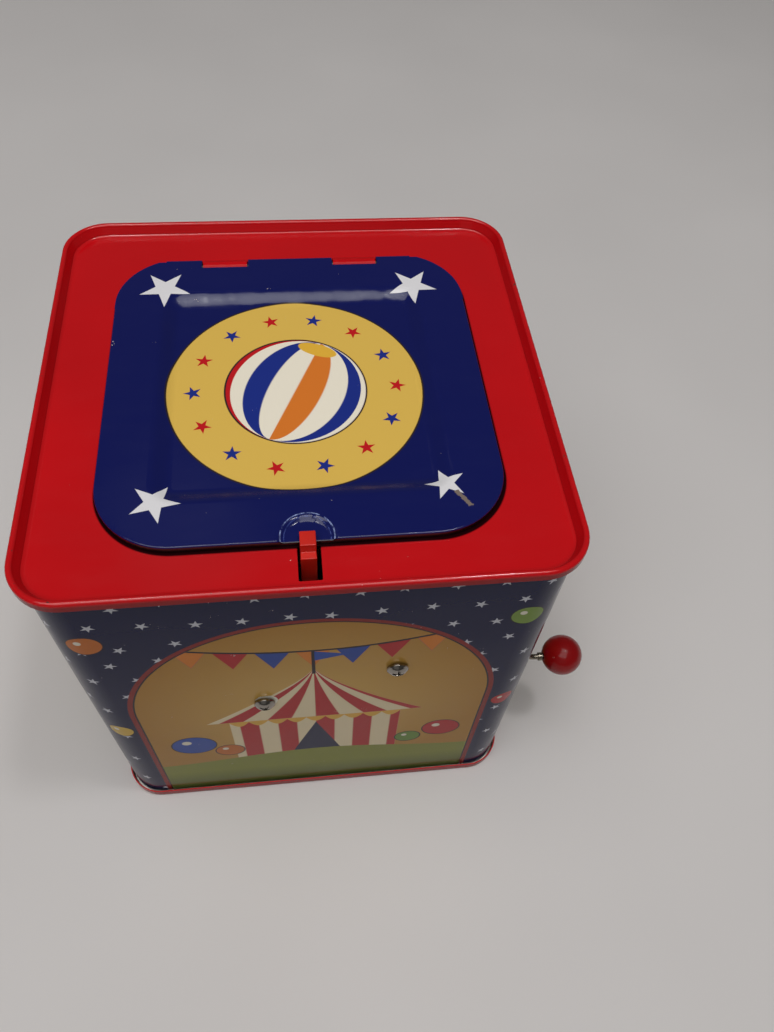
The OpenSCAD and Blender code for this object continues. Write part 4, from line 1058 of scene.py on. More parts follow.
lid = cut_blank("printed_lid", 2 * LID_HALF_X, LID_BACK_Y - LID_FRONT_Y, LID_CORNER, LID_TOP_Z - HEM_HEIGHT,
                (LID_BACK_Y + LID_FRONT_Y) / 2, steps=16)
press([(0.0, LID_TOP_Z - HEM_HEIGHT)] + roll(HEM_R, LID_TOP_Z - HEM_R, HEM_R, 0, 90, 5)
      + [(MARGIN_EDGE, LID_TOP_Z), (STEP_START, LID_TOP_Z)])
# The margin at the back is wider than at the sides, so the back of the sunk panel is drawn forward
inner_back = [v for v in bmesh.from_edit_mesh(lid.data).verts if v.select and v.co.y > 0]
bpy.ops.mesh.select_all(action="DESELECT")
bpy.ops.mesh.select_mode(type="VERT")
for vertex in inner_back:
    vertex.select_set(True)
bmesh.update_edit_mesh(lid.data)
bpy.ops.transform.translate(value=(0, -RECESS_BACK_IN * MM, 0))
# The one face left in the middle is pressed on down the step
select_where(lid, "faces", lambda spot: abs(spot.y) < 6 and abs(spot.x) < 1)
press([(STEP_START + (STEP_END - STEP_START) * k / STEP_COUNT, LID_TOP_Z - RECESS_DEPTH * ease(k / STEP_COUNT))
       for k in range(STEP_COUNT + 1)])
edit_done()

cut_lines(ys=(HEM_END_Y, HEM_END_Y + HEM_RUN, NOTCH_FRONT_Y, HINGE_Y))
bisect((0, HINGE_Y + CURL_BACK, 0), (0, 1, 0), clear_outer=True)
cut_lines(xs=[x for curl in CURLS for x in curl] + [side * x for side in (-1, 1) for x in NOTCH])
select_where(lid, "faces", lambda spot: spot.y > NOTCH_FRONT_Y and NOTCH[0] < abs(spot.x) < NOTCH[1])
bpy.ops.mesh.delete(type="FACE")
net_half = DENT_R + 2
cut_lines(xs=[DENT_X - net_half + k * DENT_NET for k in range(int(2 * net_half / DENT_NET) + 1)],
          ys=[LID_FRONT_Y + 1 + k * DENT_NET for k in range(int(net_half / DENT_NET))])


def shape_lid(spot):
    """Ends the hem ahead of the rear corners and presses the dent, which stays clear of the red floor."""
    x, y, z = spot
    if y > HEM_END_Y + 0.3 and z < LID_TOP_Z and abs(x) > LID_HALF_X - LID_CORNER and (
            abs(x) > LID_HALF_X - HEM_WIDTH or y > HEM_END_Y + 3):
        from_centre = math.hypot(max(0.0, abs(x) - LID_HALF_X + LID_CORNER), max(0.0, y - LID_BACK_Y + LID_CORNER))
        if from_centre > LID_CORNER - HEM_R - 0.05:
            z = LID_TOP_Z
    away = math.hypot(x - DENT_X, y - LID_FRONT_Y)
    if away < DENT_R + DENT_RUN:
        share = min(1.0, max(0.0, (DENT_R + 0.5 - away) / DENT_RUN))
        z = max(z - DENT_DEPTH * ease(share), FLOOR_Z + DENT_CLEAR)
    return x, y, z


move_verts(lid, shape_lid)
edit_all()
bpy.ops.mesh.remove_doubles(threshold=0.004 * MM)
edit_done()
curls = []
for x0, x1 in CURLS:
    curls.append(edge_along_x("lid_curl", x0, x1, HINGE_Y + CURL_BACK, LID_TOP_Z))
    spin_x(LID_CURL, HINGE_Y + CURL_BACK, HINGE_Z, LID_CURL_STEPS)
    turn_outwards(curls[-1])
lid = join([lid] + curls, "printed_lid")
dress(lid, lid_litho, bare_tinplate)
thicken(lid, SHEET, material_offset=1)
finish_piece(lid, "lid", None, "lid")

# %% [markdown]
# ## The standing rim
# The bottom panel is rolled on like the top one, so a like profile is pressed and then turned upside down.

# %% Bottom panel
FOOT_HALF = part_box("bottom_panel")[1].x / MM
FOOT_CORNER = BODY_CORNER + FOOT_HALF - BODY_HALF
FOOT_R, FOOT_HEIGHT, FOOT_FLOOR_Z, FOOT_SINK = 1.05, 4.0, 3.0, 0.07

foot = cut_blank("standing_rim", 2 * FOOT_HALF, 2 * FOOT_HALF, FOOT_CORNER, -FOOT_HEIGHT)
bead = [(edge, min(low, -0.03)) for edge, low in roll(FOOT_R, FOOT_SINK - FOOT_R, FOOT_R, 0, 180, 10)[1:]]
press([(0.0, -FOOT_HEIGHT), (0.0, -FOOT_R)] + bead + [
    (2 * FOOT_R + edge, over - FOOT_FLOOR_Z) for edge, over in ((0, 0.9), (0.2, 0.3), (0.8, 0))])
bpy.ops.mesh.select_all(action="SELECT")
bpy.ops.transform.mirror(constraint_axis=(False, False, True), center_override=(0, 0, 0))
bpy.ops.mesh.flip_normals()
edit_done()
dress(foot, red_enamel, bare_tinplate)
thicken(foot, SHEET, material_offset=1)
finish_piece(foot, "box", None, "bottom_panel")

# %% [markdown]
# ## Metal, plastic and enamel
# The small parts show how they were made: drawn wire is bright with lines along it, plated screws mirror the room,
# moulded plastic is satin with faint clouds of flow. Each finish is a short recipe whose numbers stand where it is
# used.

# %% Metal, plastic and enamel
def clouded(place, colour, size, spread):
    """A hex colour that grows lighter and darker by a share in clouds of a size."""
    return scaled(linear(colour)[:3], between(grain(place, size), 0.3, 0.7, 1 - spread, 1 + spread))


def metal(name, colour, roughness, line, stretch=(1, 1, 1)):
    """Bare or plated metal whose fine lines, line millimetres apart, are drawn out by stretch."""
    new_material(name)
    place = object_mm()
    lines = grain(place, line, 3.0, stretch)
    return surface(Base_Color=clouded(place, colour, 6, 0.06), Metallic=1.0, Normal=bump(0.25, 0.02, lines),
                   Roughness=between(lines, 0.3, 0.7, roughness * 0.7, roughness * 1.3))


def moulded(name, colour, roughness):
    """Injection-moulded plastic: a satin skin with clouds where it flowed."""
    new_material(name)
    place = object_mm()
    skin = grain(place, 0.3)
    return surface(Base_Color=clouded(place, colour, 9, 0.06), Normal=bump(0.15, 0.03, skin),
                   Roughness=between(skin, 0.3, 0.7, roughness * 0.85, roughness * 1.2))


def enamelled(name, colour, speckle):
    """Dipped enamel: a deep colour under a hard clear coat, with a few specks of dust caught in it."""
    new_material(name)
    place = object_mm()
    ink = print_inks(clouded(place, colour, 12, 0.05), [(chips(place, 0.35, 0.52), speckle)])
    sag = bump(0.12, 0.2, grain(place, 5))
    return surface(Base_Color=ink, Roughness=0.5, Specular_IOR_Level=0.1, Coat_Weight=1.0, Coat_IOR=1.28,
                   Coat_Roughness=0.03, Normal=sag, Coat_Normal=sag)


bright_steel = metal("drawn_steel_wire", "#857d70", 0.26, 0.5, (1, 1, 12))
spring_wire = metal("blued_spring_steel", "#7d7f86", 0.30, 0.5)
screw_chrome = metal("nickel_plated_screw", "#96918a", 0.1, 0.8)
comb_metal = metal("ground_comb_steel", "#b4b6b8", 0.26, 0.3, (14, 1, 1))
eyelet_metal = metal("tarnished_brass", "#b0904c", 0.30, 1.5)
pin_steel = metal("oiled_steel_pin", "#3b3835", 0.35, 0.5, (12, 1, 1))
latch_plastic = moulded("orange_red_moulded_plastic", "#cf1f10", 0.34)
frame_plastic = moulded("ivory_moulded_plastic", "#dcd7c6", 0.45)
gear_plastic = moulded("white_acetal_plastic", "#ebe8de", 0.38)
drum_plastic = moulded("yellow_moulded_plastic", "#e0b544", 0.40)
knob_enamel = enamelled("red_dipped_enamel", "#8b0509", "#d9b9b4")
print("eleven finishes for small parts")

# %% [markdown]
# Wood comes in two kinds. Plywood shows the figure of its face veneer and, on the cut edge, its plies. The normal of
# the surface says which of the two a point is. The dowel is solid beech with a grain along its length.

# %% Wood
PLY = 0.8
GLUE_BROWN = "#5f4527"


def wood(name, colour, dark, stretch, plies):
    """Bare wood with its figure drawn out by stretch, and plies on upright edges where asked."""
    new_material(name)
    place = object_mm()
    figure = grain(place, 1.6, 4.0, stretch)
    layers = [(between(figure, 0.42, 0.68, 0.0, 0.8), dark)]
    if plies:
        upright = between(calc("ABSOLUTE", facing_up()), 0.6, 0.4)
        bands = calc("PINGPONG", xyz(place)["Z"], PLY)
        layers += [(overlap(upright, between(bands, 0.45 * PLY, 0.55 * PLY, 0.0, 0.6)), dark),
                   (overlap(upright, between(bands, 0.12 * PLY, 0.0)), GLUE_BROWN)]
    return surface(Base_Color=print_inks(colour, layers), Roughness=0.62, Specular_IOR_Level=0.3,
                   Normal=bump(0.3, 0.05, figure))


birch_plywood = wood("birch_plywood", "#cda871", "#a67c46", (12, 1, 12), True)
beech_dowel = wood("beech_dowel", "#d2ab7d", "#a97b4c", (1, 1, 14), False)
print("plywood with plies", PLY, "mm thick")

# %% [markdown]
# ## Latch, crank movement and screws
# These parts keep their solids' shapes to the hair, because the mechanism runs on them. Each is a merged copy with
# its edges broken by a bevel, which is what catches the light on a real moulding or a tumbled screw.

# %% Small parts
SMALL_PARTS = (
    # solid, piece, body, slot, finish, width of the broken edge
    ("latch_lever", "latch_hook", "latch", "latch_plastic", latch_plastic, 0.28),
    ("latch_pivot_pin", "latch_pin", "box", "steel_wire", bright_steel, 0.15),
    ("hinge_pin", "hinge_wire", "box", "steel_wire", pin_steel, 0.2),
    ("movement_frame", "music_frame", "box", "frame_plastic", frame_plastic, 0.3),
    ("comb", "music_comb", "box", "comb_steel", comb_metal, 0.08),
    ("comb_screws", "comb_fixings", "box", "chrome_screw", screw_chrome, 0.12),
    ("side_eyelet", "crank_eyelet", "box", "eyelet_brass", eyelet_metal, 0.15),
    ("crank_wire", "crank_rod", "crank", "steel_wire", bright_steel, 0.0),
    ("crank_pinion", "small_gear", "crank", "gear_plastic", gear_plastic, 0.1),
    ("drum_gear", "large_gear", "drum", "gear_plastic", gear_plastic, 0.1),
    ("drum_axle", "drum_rod", "drum", "steel_wire", bright_steel, 0.15),
    ("music_drum", "pinned_drum", "drum", "drum_plastic", drum_plastic, 0.1),
    ("release_cam", "latch_cam", "drum", "gear_plastic", gear_plastic, 0.2),
    ("puppet_base", "base_disc", "box", "plywood", birch_plywood, 0.3),
    ("base_rivets", "disc_rivets", "box", "steel_wire", screw_chrome, 0.25),
    ("spring_staples", "wire_staples", "box", "steel_wire", bright_steel, 0.1),
    ("spring_top_disc", "shoulder_disc", "puppet", "plywood", birch_plywood, 0.3),
    ("neck_dowel", "neck_rod", "puppet", "plywood", beech_dowel, 0.3),
)

for node, piece_name, body, slot, finish, edge in SMALL_PARTS:
    finish_piece(softened_copy(node, piece_name, edge), body, finish, node)

# %% [markdown]
# The two screws show domed heads with a cross recess. Each head is a slice of a ball laid over the solid's own
# head, and two crossed blades cut the recess into it.

# %% Screw heads
HEAD_R, HEAD_RISE = 3.15, 1.75
HEAD_PROUD = 0.25
CROSS_W, CROSS_L, CROSS_DEEP = 0.8, 3.4, 1.1
CROSS_TURNS = (35, 12)

wall_screws = softened_copy("frame_screws", "wall_screws", 0.14)
heads = [wall_screws]
ball_r = (HEAD_R ** 2 + HEAD_RISE ** 2) / (2 * HEAD_RISE)
front_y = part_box("frame_screws")[0].y / MM - HEAD_PROUD
for turn, (screw_x, screw_z) in zip(CROSS_TURNS, SCREW_SPOTS):
    head = ball("screw_head", ball_r, (screw_x, front_y + ball_r, screw_z), 48, 32, (90, 0, 0))
    bisect((0, front_y + HEAD_RISE, 0), (0, 1, 0), clear_outer=True, use_fill=True)
    edit_done()
    for blade_turn in (turn, turn + 90):
        start_clean()
        bpy.ops.mesh.primitive_cube_add(size=1, location=(screw_x * MM, front_y * MM, screw_z * MM),
                                        rotation=(0, math.radians(blade_turn), 0))
        blade = bpy.context.object
        blade.scale = (CROSS_L * MM, 2 * CROSS_DEEP * MM, CROSS_W * MM)
        bpy.ops.object.transform_apply(location=False, rotation=False, scale=True)
        cut_with(head, [blade])
    soften(head, 0.12, 2, 30)
    heads.append(head)
wall_screws = join(heads, "wall_screws")
finish_piece(wall_screws, "box", screw_chrome, "frame_screws")

# %% [markdown]
# The knob is a dipped ball. Its side is spot-faced where the crank's wire goes in, with the dark bore round the wire.

# %% Crank knob
KNOB_PLACE = (89.3, -45.4, 44.6)
KNOB_R, KNOB_FACE_X = 7.2, 82.35
KNOB_BORE_R, KNOB_BORE = 1.25, 1.6

knob = ball("knob_ball", KNOB_R, KNOB_PLACE, 72, 48, (0, 90, 0))
bisect((KNOB_FACE_X, 0, 0), (1, 0, 0), clear_inner=True, use_fill=True)
face_r = math.sqrt(KNOB_R ** 2 - (KNOB_PLACE[0] - KNOB_FACE_X) ** 2)
bpy.ops.mesh.inset(thickness=(face_r - KNOB_BORE_R) * MM, depth=0)
bpy.ops.mesh.inset(thickness=0.05 * MM, depth=-KNOB_BORE * MM)
soften(knob, 0.25, 3, 25)
finish_piece(knob, "knob", knob_enamel, "crank_knob")

# %% [markdown]
# ## Springs
# A spring is a ring of wire screwed round an axis. The first and the last turn lie closed, so each point's height is
# worked out from how many turns the wire has made when it gets there.

# %% Springs
SPRING_TURNS, SPRING_R, SPRING_WIRE_R = 8, 21.5, 0.8
SPRING_LOW, SPRING_HIGH = 7.95, 57.95
SMALL_TURNS, SMALL_R, SMALL_WIRE_R = 4, 1.6, 0.3
COIL_GAP = 0.15


def coil_spring(name, turns, coil_r, wire_r, low, high, steps, sides):
    """A compression spring about Z with closed ends."""
    start_clean()
    bpy.ops.mesh.primitive_circle_add(vertices=sides, radius=wire_r * MM, location=(coil_r * MM, 0, low * MM),
                                      rotation=(math.radians(90), 0, 0))
    spring = new_object(name)
    pitch = (high - low) / turns
    use_modifier(spring, "SCREW", axis="Z", angle=math.tau, screw_offset=pitch * MM, iterations=turns, steps=steps,
                 render_steps=steps)
    closed = 2 * wire_r + COIL_GAP

    def close_ends(spot):
        """Flattens the first and the last turn."""
        turn = (math.atan2(spot.y, spot.x) / math.tau) % 1.0
        done = turn + round((spot.z - low) / pitch - turn)
        if done < 1:
            height = low + closed * done
        elif done > turns - 1:
            height = high - closed * (turns - done)
        else:
            height = low + closed + (high - low - 2 * closed) * (done - 1) / (turns - 2)
        return Vector((spot.x, spot.y, height + spot.z - low - done * pitch))

    move_verts(spring, close_ends)
    close_holes()
    return spring


main_spring = coil_spring("main_spring", SPRING_TURNS, SPRING_R, SPRING_WIRE_R, SPRING_LOW, SPRING_HIGH, 64, 10)
finish_piece(main_spring, None, spring_wire, "puppet_spring")
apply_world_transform(main_spring)

small_low, small_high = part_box("latch_spring")
return_spring = coil_spring("return_spring", SMALL_TURNS, SMALL_R, SMALL_WIRE_R, SMALL_WIRE_R,
                            (small_high.y - small_low.y) / MM - SMALL_WIRE_R, 24, 8)
return_spring.rotation_euler = (math.radians(-90), 0, 0)
return_spring.location = ((small_low.x + small_high.x) / 2, small_low.y, (small_low.z + small_high.z) / 2)
finish_piece(return_spring, None, spring_wire, "latch_spring")
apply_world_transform(return_spring)

# %% [markdown]
# ## Cloth, felt and paint for the puppet
# Cotton is matt with a plain weave: two sets of threads, each a fine wave, woven into the bump. Felt and wool have no
# threads but a tangle of fibres, so their bump is noise drawn out a little, and sheen gives their edges a pale fuzz.

# %% Cloth and felt
THREAD = 0.55
DOT_STEP, DOT_R = 9.0, 1.7


def dot_mask(x, y):
    """Round dots on a grid of the cloth's own threads, every other row set over by half a step."""
    row = calc("FLOOR", calc("DIVIDE", y, DOT_STEP))
    set_over = calc("ADD", x, calc("MULTIPLY", calc("FLOORED_MODULO", row, 2.0), DOT_STEP / 2))
    spot = combined(*(calc("SUBTRACT", calc("FLOORED_MODULO", value, DOT_STEP), DOT_STEP / 2)
                      for value in (set_over, y)))
    return disc_mask(spot, DOT_R)


def cotton(name, colour, dots=None):
    """Plain-woven cotton that follows a piece's own thread map, printed with round dots if a colour is given."""
    new_material(name)
    threads = scaled(add_node("UVMap", uv_map="thread_map"), 1 / MM)
    x, y = xyz(threads)["X"], xyz(threads)["Y"]
    waves = [calc("SINE", calc("MULTIPLY", value, math.pi / THREAD)) for value in (x, y)]
    slub = between(grain(threads, 2.5, 4.0, (0.3, 3, 1)), 0.3, 0.7, 0.86, 1.1)
    ink = print_inks(colour, [(dot_mask(x, y), dots)]) if dots else linear(colour)[:3]
    return surface(Base_Color=scaled(ink, slub), Roughness=0.9, Specular_IOR_Level=0.15, Sheen_Weight=0.3,
                   Sheen_Roughness=0.4, Normal=bump(0.5, 0.08, calc("MULTIPLY", *waves)))


def felted(name, colour, fibre, fuzz):
    """Felt or wool: a tangle of fibres fibre millimetres across with a pale fuzz."""
    new_material(name)
    place = object_mm()
    return surface(Base_Color=clouded(place, colour, 2.5, 0.12), Roughness=0.95, Specular_IOR_Level=0.1,
                   Sheen_Weight=fuzz, Sheen_Roughness=0.5,
                   Normal=bump(0.6, 0.15, grain(place, fibre, 6.0, (1, 2.4, 1))))


robe_cotton = cotton("blue_dotted_cotton", "#2b4ba0", "#ecd9a0")
sleeve_cotton = cotton("red_plain_cotton", "#b8242a")
ruff_cotton = cotton("yellow_plain_cotton", "#e6b93c")
hand_felt = felted("cream_felt", "#ece4d2", 0.5, 0.3)
hat_felt = felted("blue_wool_felt", "#2b4ba0", 0.5, 0.3)
pompom_wool = felted("yellow_wool", "#e5b73a", 0.35, 0.6)
print("threads", THREAD, "mm apart")

# %% [markdown]
# ## The puppet's clothes
# Cloth pieces start as a plain tube of quads, one unit high, and every row of it is then carried to its place. The
# tube's own rows and columns are also the cloth's threads, so its weave follows every fold.

# %% Tubes of cloth
def around(turn):
    """The direction at a turn 0-1 about Z."""
    return Vector((math.cos(turn * math.tau), math.sin(turn * math.tau), 0))


def cloth_tube(name, columns, rows):
    """An open tube about Z, 1 mm in radius and 1 mm high, with even rows."""
    start_clean()
    bpy.ops.mesh.primitive_circle_add(vertices=columns, radius=MM)
    tube = bpy.context.object
    tube.name = name
    edit_all()
    for _ in range(rows):
        bpy.ops.mesh.extrude_edges_move(TRANSFORM_OT_translate={"value": (0, 0, MM / rows)})
    bpy.ops.mesh.select_all(action="SELECT")
    bpy.ops.mesh.normals_make_consistent(inside=False)
    edit_done()
    return tube


def drape_tube(tube, place, width, length):
    """Carries each point of the tube, given as (turn 0-1, share of height 0-1), to place, and maps its threads."""
    marks = [((math.atan2(v.co.y, v.co.x) / math.tau) % 1.0, v.co.z / MM) for v in tube.data.vertices]
    thread_map = tube.data.uv_layers.new(name="thread_map")
    for face in tube.data.polygons:
        turns = [marks[k][0] for k in face.vertices]
        for loop, vertex in zip(face.loop_indices, face.vertices):
            turn, share = marks[vertex]
            if max(turns) - turn > 0.5:
                turn += 1.0
            thread_map.data[loop].uv = (turn * width * MM, share * length * MM)
    for vertex, (turn, share) in zip(tube.data.vertices, marks):
        vertex.co = Vector(place(turn, share)) * MM
    return tube


def along(stops, share):
    """The value at a share of the way along (share, value) stops, eased between them."""
    for (start, low), (end, high) in zip(stops, stops[1:]):
        if share <= end:
            part = (share - start) / (end - start)
            return low + (high - low) * part * part * (3 - 2 * part)
    return stops[-1][1]


print("a thread map carries the weave round every tube")

# %% [markdown]
# The robe hides the spring and has to stretch with it, so in the closed box it lies in a dozen soft crinkles, one on
# the other, from its hem to the top disc, and its shoulders are gathered into the neck.

# %% Robe
ROBE_HEM_Z, ROBE_WAIST_Z, ROBE_NECK_Z = 3.6, 63.4, 82.4
ROBE_R, ROBE_TAPER, ROBE_NECK_R = 28.6, 1.6, 9.0
CRINKLES, CRINKLE_DEPTH = 12, 3.6
ROBE_GATHERS, GATHER_DEPTH = 22, 0.45
WAIST_SHARE = 0.78
SHOULDER_RISE = ((0, 0), (0.45, 0.42), (0.85, 0.86), (1, 1))
SHOULDER_R = ((0, ROBE_R - ROBE_TAPER), (0.3, 25.5), (0.8, 13.0), (1, ROBE_NECK_R))
ROBE_ROUND, ROBE_LONG, ROBE_THICK = 182, 150, 0.5


def robe_place(turn, share):
    """Crinkles from the hem to the waist, then shoulders that are gathered into the neck."""
    way = around(turn)
    if share < WAIST_SHARE:
        part = share / WAIST_SHARE
        height = ROBE_HEM_Z + (ROBE_WAIST_Z - ROBE_HEM_Z) * part
        slip = 0.35 * noise.noise(way * 2.2 + Vector((0, 0, height / 9)))
        fold = 0.5 - 0.5 * math.cos(math.tau * (CRINKLES * part + slip))
        strength = 0.75 + 0.5 * noise.noise(way * 3 + Vector((5, 0, height / 6)))
        radius = ROBE_R - ROBE_TAPER * part - CRINKLE_DEPTH * strength * fold * min(1, 6 * part, 8 * (1 - part))
    else:
        part = (share - WAIST_SHARE) / (1 - WAIST_SHARE)
        height = ROBE_WAIST_Z + (ROBE_NECK_Z - ROBE_WAIST_Z) * along(SHOULDER_RISE, part)
        radius = along(SHOULDER_R, part)
        radius += GATHER_DEPTH * math.sin(ROBE_GATHERS * turn * math.tau) * math.sin(math.pi * part) ** 0.5
    radius += 0.25 * noise.noise(way * 6 + Vector((0, 0, height / 3)))
    return way.x * radius, way.y * radius, height


robe = drape_tube(cloth_tube("robe_cloth", 176, 116), robe_place, ROBE_ROUND, ROBE_LONG)
thicken(robe, ROBE_THICK)
finish_piece(robe, None, robe_cotton, "puppet_robe", angle=80)
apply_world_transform(robe)

# %% [markdown]
# A sleeve is a stuffed tube that runs out of the shoulder, bends at the elbow and hangs to the cuff. It is wrinkled
# on the inside of the bend and hemmed at the cuff. The mitten below it is two rounded lobes of felt melted into one.

# %% Sleeves and mittens
SLEEVE_R, SLEEVE_ROUND, SLEEVE_LONG = 5.0, 31, 52
SLEEVE_STOPS = ((11.0, 76.4), (24.0, 72.6), (34.6, 67.8), (36.2, 54.9))
ELBOW_SHARE, ELBOW_RUN, CUFF_SHARE = 0.62, 0.16, 0.93
PALM_R, THUMB_R = 4.2, 1.8
HAND_X, HAND_TOP_Z = 36, 54.5
LOBES = (
    # name, radius, place from the hand's middle, stretch
    ("mitten", PALM_R, (0, 0, HAND_TOP_Z - PALM_R - 1.9), (0.86, 1, 1.42)),
    ("thumb", THUMB_R, (0, -PALM_R - 0.2, HAND_TOP_Z - PALM_R - 1.2), (0.9, 1, 1.7)))


def on_curve(stops, share):
    """A point on the smooth curve that four stops pull."""
    back = 1 - share
    pulls = (back ** 3, 3 * back * back * share, 3 * back * share * share, share ** 3)
    return sum(pull * x for pull, (x, _) in zip(pulls, stops)), sum(pull * z for pull, (_, z) in zip(pulls, stops))


def make_sleeve(side):
    """One stuffed sleeve; side is -1 or 1."""
    def place(turn, share):
        angle = turn * math.tau
        x, z = on_curve(SLEEVE_STOPS, share)
        next_x, next_z = on_curve(SLEEVE_STOPS, share + 0.01)
        way = Vector((next_x - x, 0, next_z - z)).normalized()
        across = way.cross(Vector((0, 1, 0)))
        bend = math.exp(-((share - ELBOW_SHARE) / ELBOW_RUN) ** 2)
        radius = along([(0, 4.7), (0.3, SLEEVE_R), (0.9, SLEEVE_R - 0.1), (1, SLEEVE_R - 0.5)], share)
        radius -= bend * 0.5 * (1 + math.sin(share * 95 + 2 * math.cos(angle))) * max(0, 0.4 - math.cos(angle))
        radius += 0.3 * noise.noise(Vector((side * 3 + share * 8, 2 * math.cos(angle), 2 * math.sin(angle))))
        if share > CUFF_SHARE:
            radius += 0.25
        spot = Vector((x, 0, z)) + radius * (across * math.cos(angle) + Vector((0, 1, 0)) * math.sin(angle))
        return side * spot.x, spot.y, spot.z

    sleeve = drape_tube(cloth_tube("sleeve", 56, 72), place, SLEEVE_ROUND, SLEEVE_LONG)
    close_holes()
    soften(sleeve, 0.5, 3, 60)
    return sleeve


def make_mitten(side):
    """Palm and thumb melted into one mitten."""
    lobes = []
    for name, radius, (x, y, z), stretch in LOBES:
        start_clean()
        bpy.ops.mesh.primitive_uv_sphere_add(segments=32, ring_count=20, radius=radius * MM,
                                             location=[(side * HAND_X + x) * MM, y * MM, z * MM])
        bpy.context.object.scale = stretch
        lobes.append(bpy.context.object)
    mitten = join(lobes, "mitten")
    use_modifier(mitten, "REMESH", mode="VOXEL", voxel_size=0.32 * MM)
    use_modifier(mitten, "SMOOTH", factor=0.6, iterations=6)
    return mitten


for parts, name, slot, finish, node, fill in (
        ([make_sleeve(-1), make_sleeve(1)], "sleeves", "sleeve_cotton", sleeve_cotton, "puppet_sleeves", 0.7),
        ([make_mitten(-1), make_mitten(1)], "mittens", "felt_hands", hand_felt, "puppet_hands", 0.8)):
    pair = finish_piece(join(parts, name), "puppet", finish, node, angle=60)

# %% [markdown]
# The collar is a strip of cotton pleated round the neck. Out at its edge each pleat stands up and down in turn; at
# the neck they are pressed flat.

# %% Pleated collar
RUFF_IN, RUFF_OUT = 5.5, 24.6
RUFF_Z, RUFF_RISE = 85.4, 1.7
RUFF_ROUND, RUFF_WIDE, RUFF_THICK = 170, 19, 0.5
PLEATS = 20
PLEAT_RISE = ((0, 0.25), (0.5, 0.8), (1, 1))


def ruff_place(turn, share):
    """Pleats that grow from the pressed neck edge out to the free edge."""
    way, angle = around(turn), turn * math.tau
    radius = RUFF_IN + (RUFF_OUT - RUFF_IN) * share + 0.3 * noise.noise(way * 3 + Vector((0, 0, 9)))
    wave = math.sin(PLEATS * angle + 0.35 * math.sin(3 * angle))
    return way.x * radius, way.y * radius, RUFF_Z + RUFF_RISE * wave * along(PLEAT_RISE, share)


ruff = drape_tube(cloth_tube("pleated_collar", 400, 14), ruff_place, RUFF_ROUND, RUFF_WIDE)
thicken(ruff, RUFF_THICK, offset=0.0)
finish_piece(ruff, "puppet", ruff_cotton, "puppet_ruff", angle=80)

# %% [markdown]
# ## The puppet's head
# A turned wooden ball, primed and painted. The face is a plain doll's face of dots and one curve, painted with
# masks on the ball's front: round eyes, soft cheeks and a mouth that is the lower part of a thin ring.

# %% Face paint
BALL_HEAD_R, HEAD_Z, NECK_CUT_Z = 17.0, 105.4, 89.3
FACE_FRONT_Y = -4.0
SKIN, CHEEK_PINK, EYE_BLACK, EYE_GLINT, MOUTH_RED = "#e9c3a2", "#d9776a", "#1d1a1c", "#f4f1ea", "#8f2f2c"
EYE_X, EYE_Z, EYE_R = 5.0, 109.6, 1.35
GLINT_SHIFT, GLINT_R = (-0.4, 0.45), 0.35
CHEEK_X, CHEEK_Z, CHEEK_R = 9.0, 102.3, 3.0
MOUTH_PLACE, MOUTH_R, MOUTH_HALF_WIDTH, MOUTH_UNDER_Z = (0, 104.0), 7.6, 0.42, 98.6

new_material("painted_turned_wood")
head_place = object_mm()
head_at = xyz(head_place)


def on_face(x, z):
    """Places on the front of the head measured from a point."""
    return offset_xy(head_at["X"], head_at["Z"], (x, z))


in_front = between(head_at["Y"], FACE_FRONT_Y, FACE_FRONT_Y - 1)
face_layers = []
for side in (-1, 1):
    reach = vector("LENGTH", on_face(side * CHEEK_X, CHEEK_Z))
    face_layers.append((between(reach, CHEEK_R, 0.35 * CHEEK_R, 0.0, 0.6), CHEEK_PINK))
for side in (-1, 1):
    face_layers += [(disc_mask(on_face(side * EYE_X, EYE_Z), EYE_R, (1, 0.8)), EYE_BLACK),
                    (disc_mask(on_face(side * EYE_X + GLINT_SHIFT[0], EYE_Z + GLINT_SHIFT[1]), GLINT_R), EYE_GLINT)]
off_ring = calc("ABSOLUTE", calc("SUBTRACT", vector("LENGTH", on_face(*MOUTH_PLACE)), MOUTH_R))
mouth = overlap(between(off_ring, MOUTH_HALF_WIDTH + 0.12, MOUTH_HALF_WIDTH - 0.12),
                between(head_at["Z"], MOUTH_UNDER_Z + 0.2, MOUTH_UNDER_Z - 0.2))
face_layers.append((mouth, MOUTH_RED))
face_ink = print_inks(clouded(head_place, SKIN, 14, 0.03),
                      [(overlap(in_front, mask), ink) for mask, ink in face_layers])
head_paint = surface(Base_Color=face_ink, Roughness=0.38, Coat_Weight=0.2, Coat_Roughness=0.2,
                     Normal=bump(0.12, 0.06, grain(head_place, 1.2, 3.0, (1, 1, 6))))
nose_paint = enamelled("coral_enamelled_bead", "#c2352c", "#e0b0a8")
print("face paint in", len(face_layers), "layers")

# %% Head, nose, hat and pom-pom
NOSE_R, NOSE_Y, NOSE_CUT_Y = 2.8, -18.4, -16.6

head = ball("turned_head", BALL_HEAD_R, (0, 0, HEAD_Z), 72, 48)
bisect((0, 0, NECK_CUT_Z), (0, 0, 1), clear_inner=True, use_fill=True)
soften(head, 0.8, 4, 25)
finish_piece(head, "puppet", head_paint, "puppet_head")

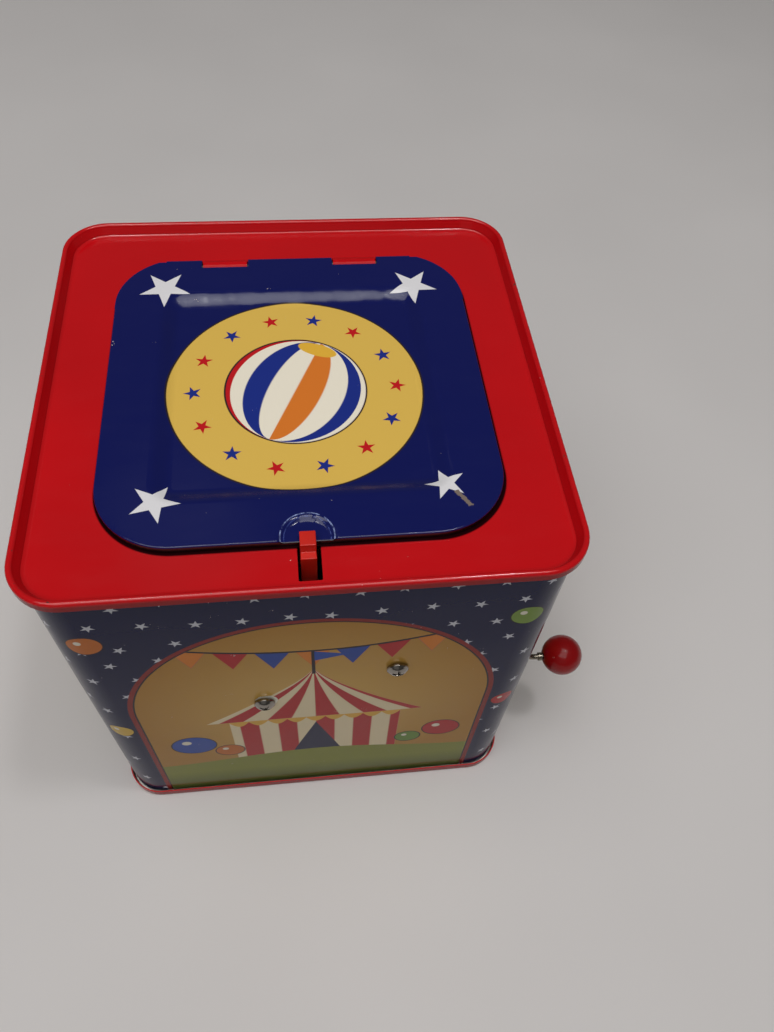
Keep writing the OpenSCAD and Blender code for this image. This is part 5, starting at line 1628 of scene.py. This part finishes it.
nose = ball("nose_bead", NOSE_R, (0, NOSE_Y, HEAD_Z), 40, 28, (90, 0, 0))
bisect((0, NOSE_CUT_Y, 0), (0, -1, 0), clear_inner=True, use_fill=True)
soften(nose, 0.3, 3, 25)
finish_piece(nose, "puppet", nose_paint, "puppet_nose")

BRIM_R, BRIM_Z, BRIM_ROLL = 14.5, 115.2, 1.8
BRIM_SHARE, BRIM_BEND = 0.4, 150
CROWN_R, CROWN_Z = BRIM_R - 1.6, BRIM_Z + 0.9
HAT_TIP_Z, HAT_TIP_R = 131.2, 1.0
HAT_ROUND, HAT_LONG = 90, 40


def hat_place(turn, share):
    """A rolled brim, then a cone with a few soft waves."""
    way = around(turn)
    if share < BRIM_SHARE:
        bend = math.radians(2 * BRIM_BEND * share / BRIM_SHARE - BRIM_BEND)
        radius = BRIM_R + BRIM_ROLL * math.cos(bend)
        height = BRIM_Z + BRIM_ROLL * math.sin(bend)
    else:
        part = (share - BRIM_SHARE) / (1 - BRIM_SHARE)
        radius = along(((0, CROWN_R), (0.5, 7.0), (1, HAT_TIP_R)), part)
        height = CROWN_Z + (HAT_TIP_Z - CROWN_Z) * part
        radius += 0.35 * math.sin(math.tau * 3 * part) * (1 - part)
    radius += 0.3 * noise.noise(way * 2.4 + Vector((0, 0, height / 7)))
    return way.x * radius, way.y * radius, height


hat = drape_tube(cloth_tube("felt_hat", 96, 60), hat_place, HAT_ROUND, HAT_LONG)
close_holes()
finish_piece(hat, "puppet", hat_felt, "puppet_hat", angle=60)

POMPOM_R, POMPOM_MIDDLE, TUFT = 3.8, Vector((0, 0, 134.4)), 0.75
start_clean()
bpy.ops.mesh.primitive_ico_sphere_add(subdivisions=5, radius=POMPOM_R * MM, location=POMPOM_MIDDLE * MM)
pompom = new_object("wool_pompom")


def tuft(spot):
    """Pushes the wool out into tufts of yarn ends."""
    way = (spot - POMPOM_MIDDLE).normalized()
    reach = POMPOM_R - TUFT + 0.35 * noise.noise(way * 3) + TUFT * abs(noise.noise(way * 17))
    return POMPOM_MIDDLE + way * min(reach, POMPOM_R)


move_verts(pompom, tuft)
finish_piece(pompom, "puppet", pompom_wool, "hat_pompoms", angle=60)
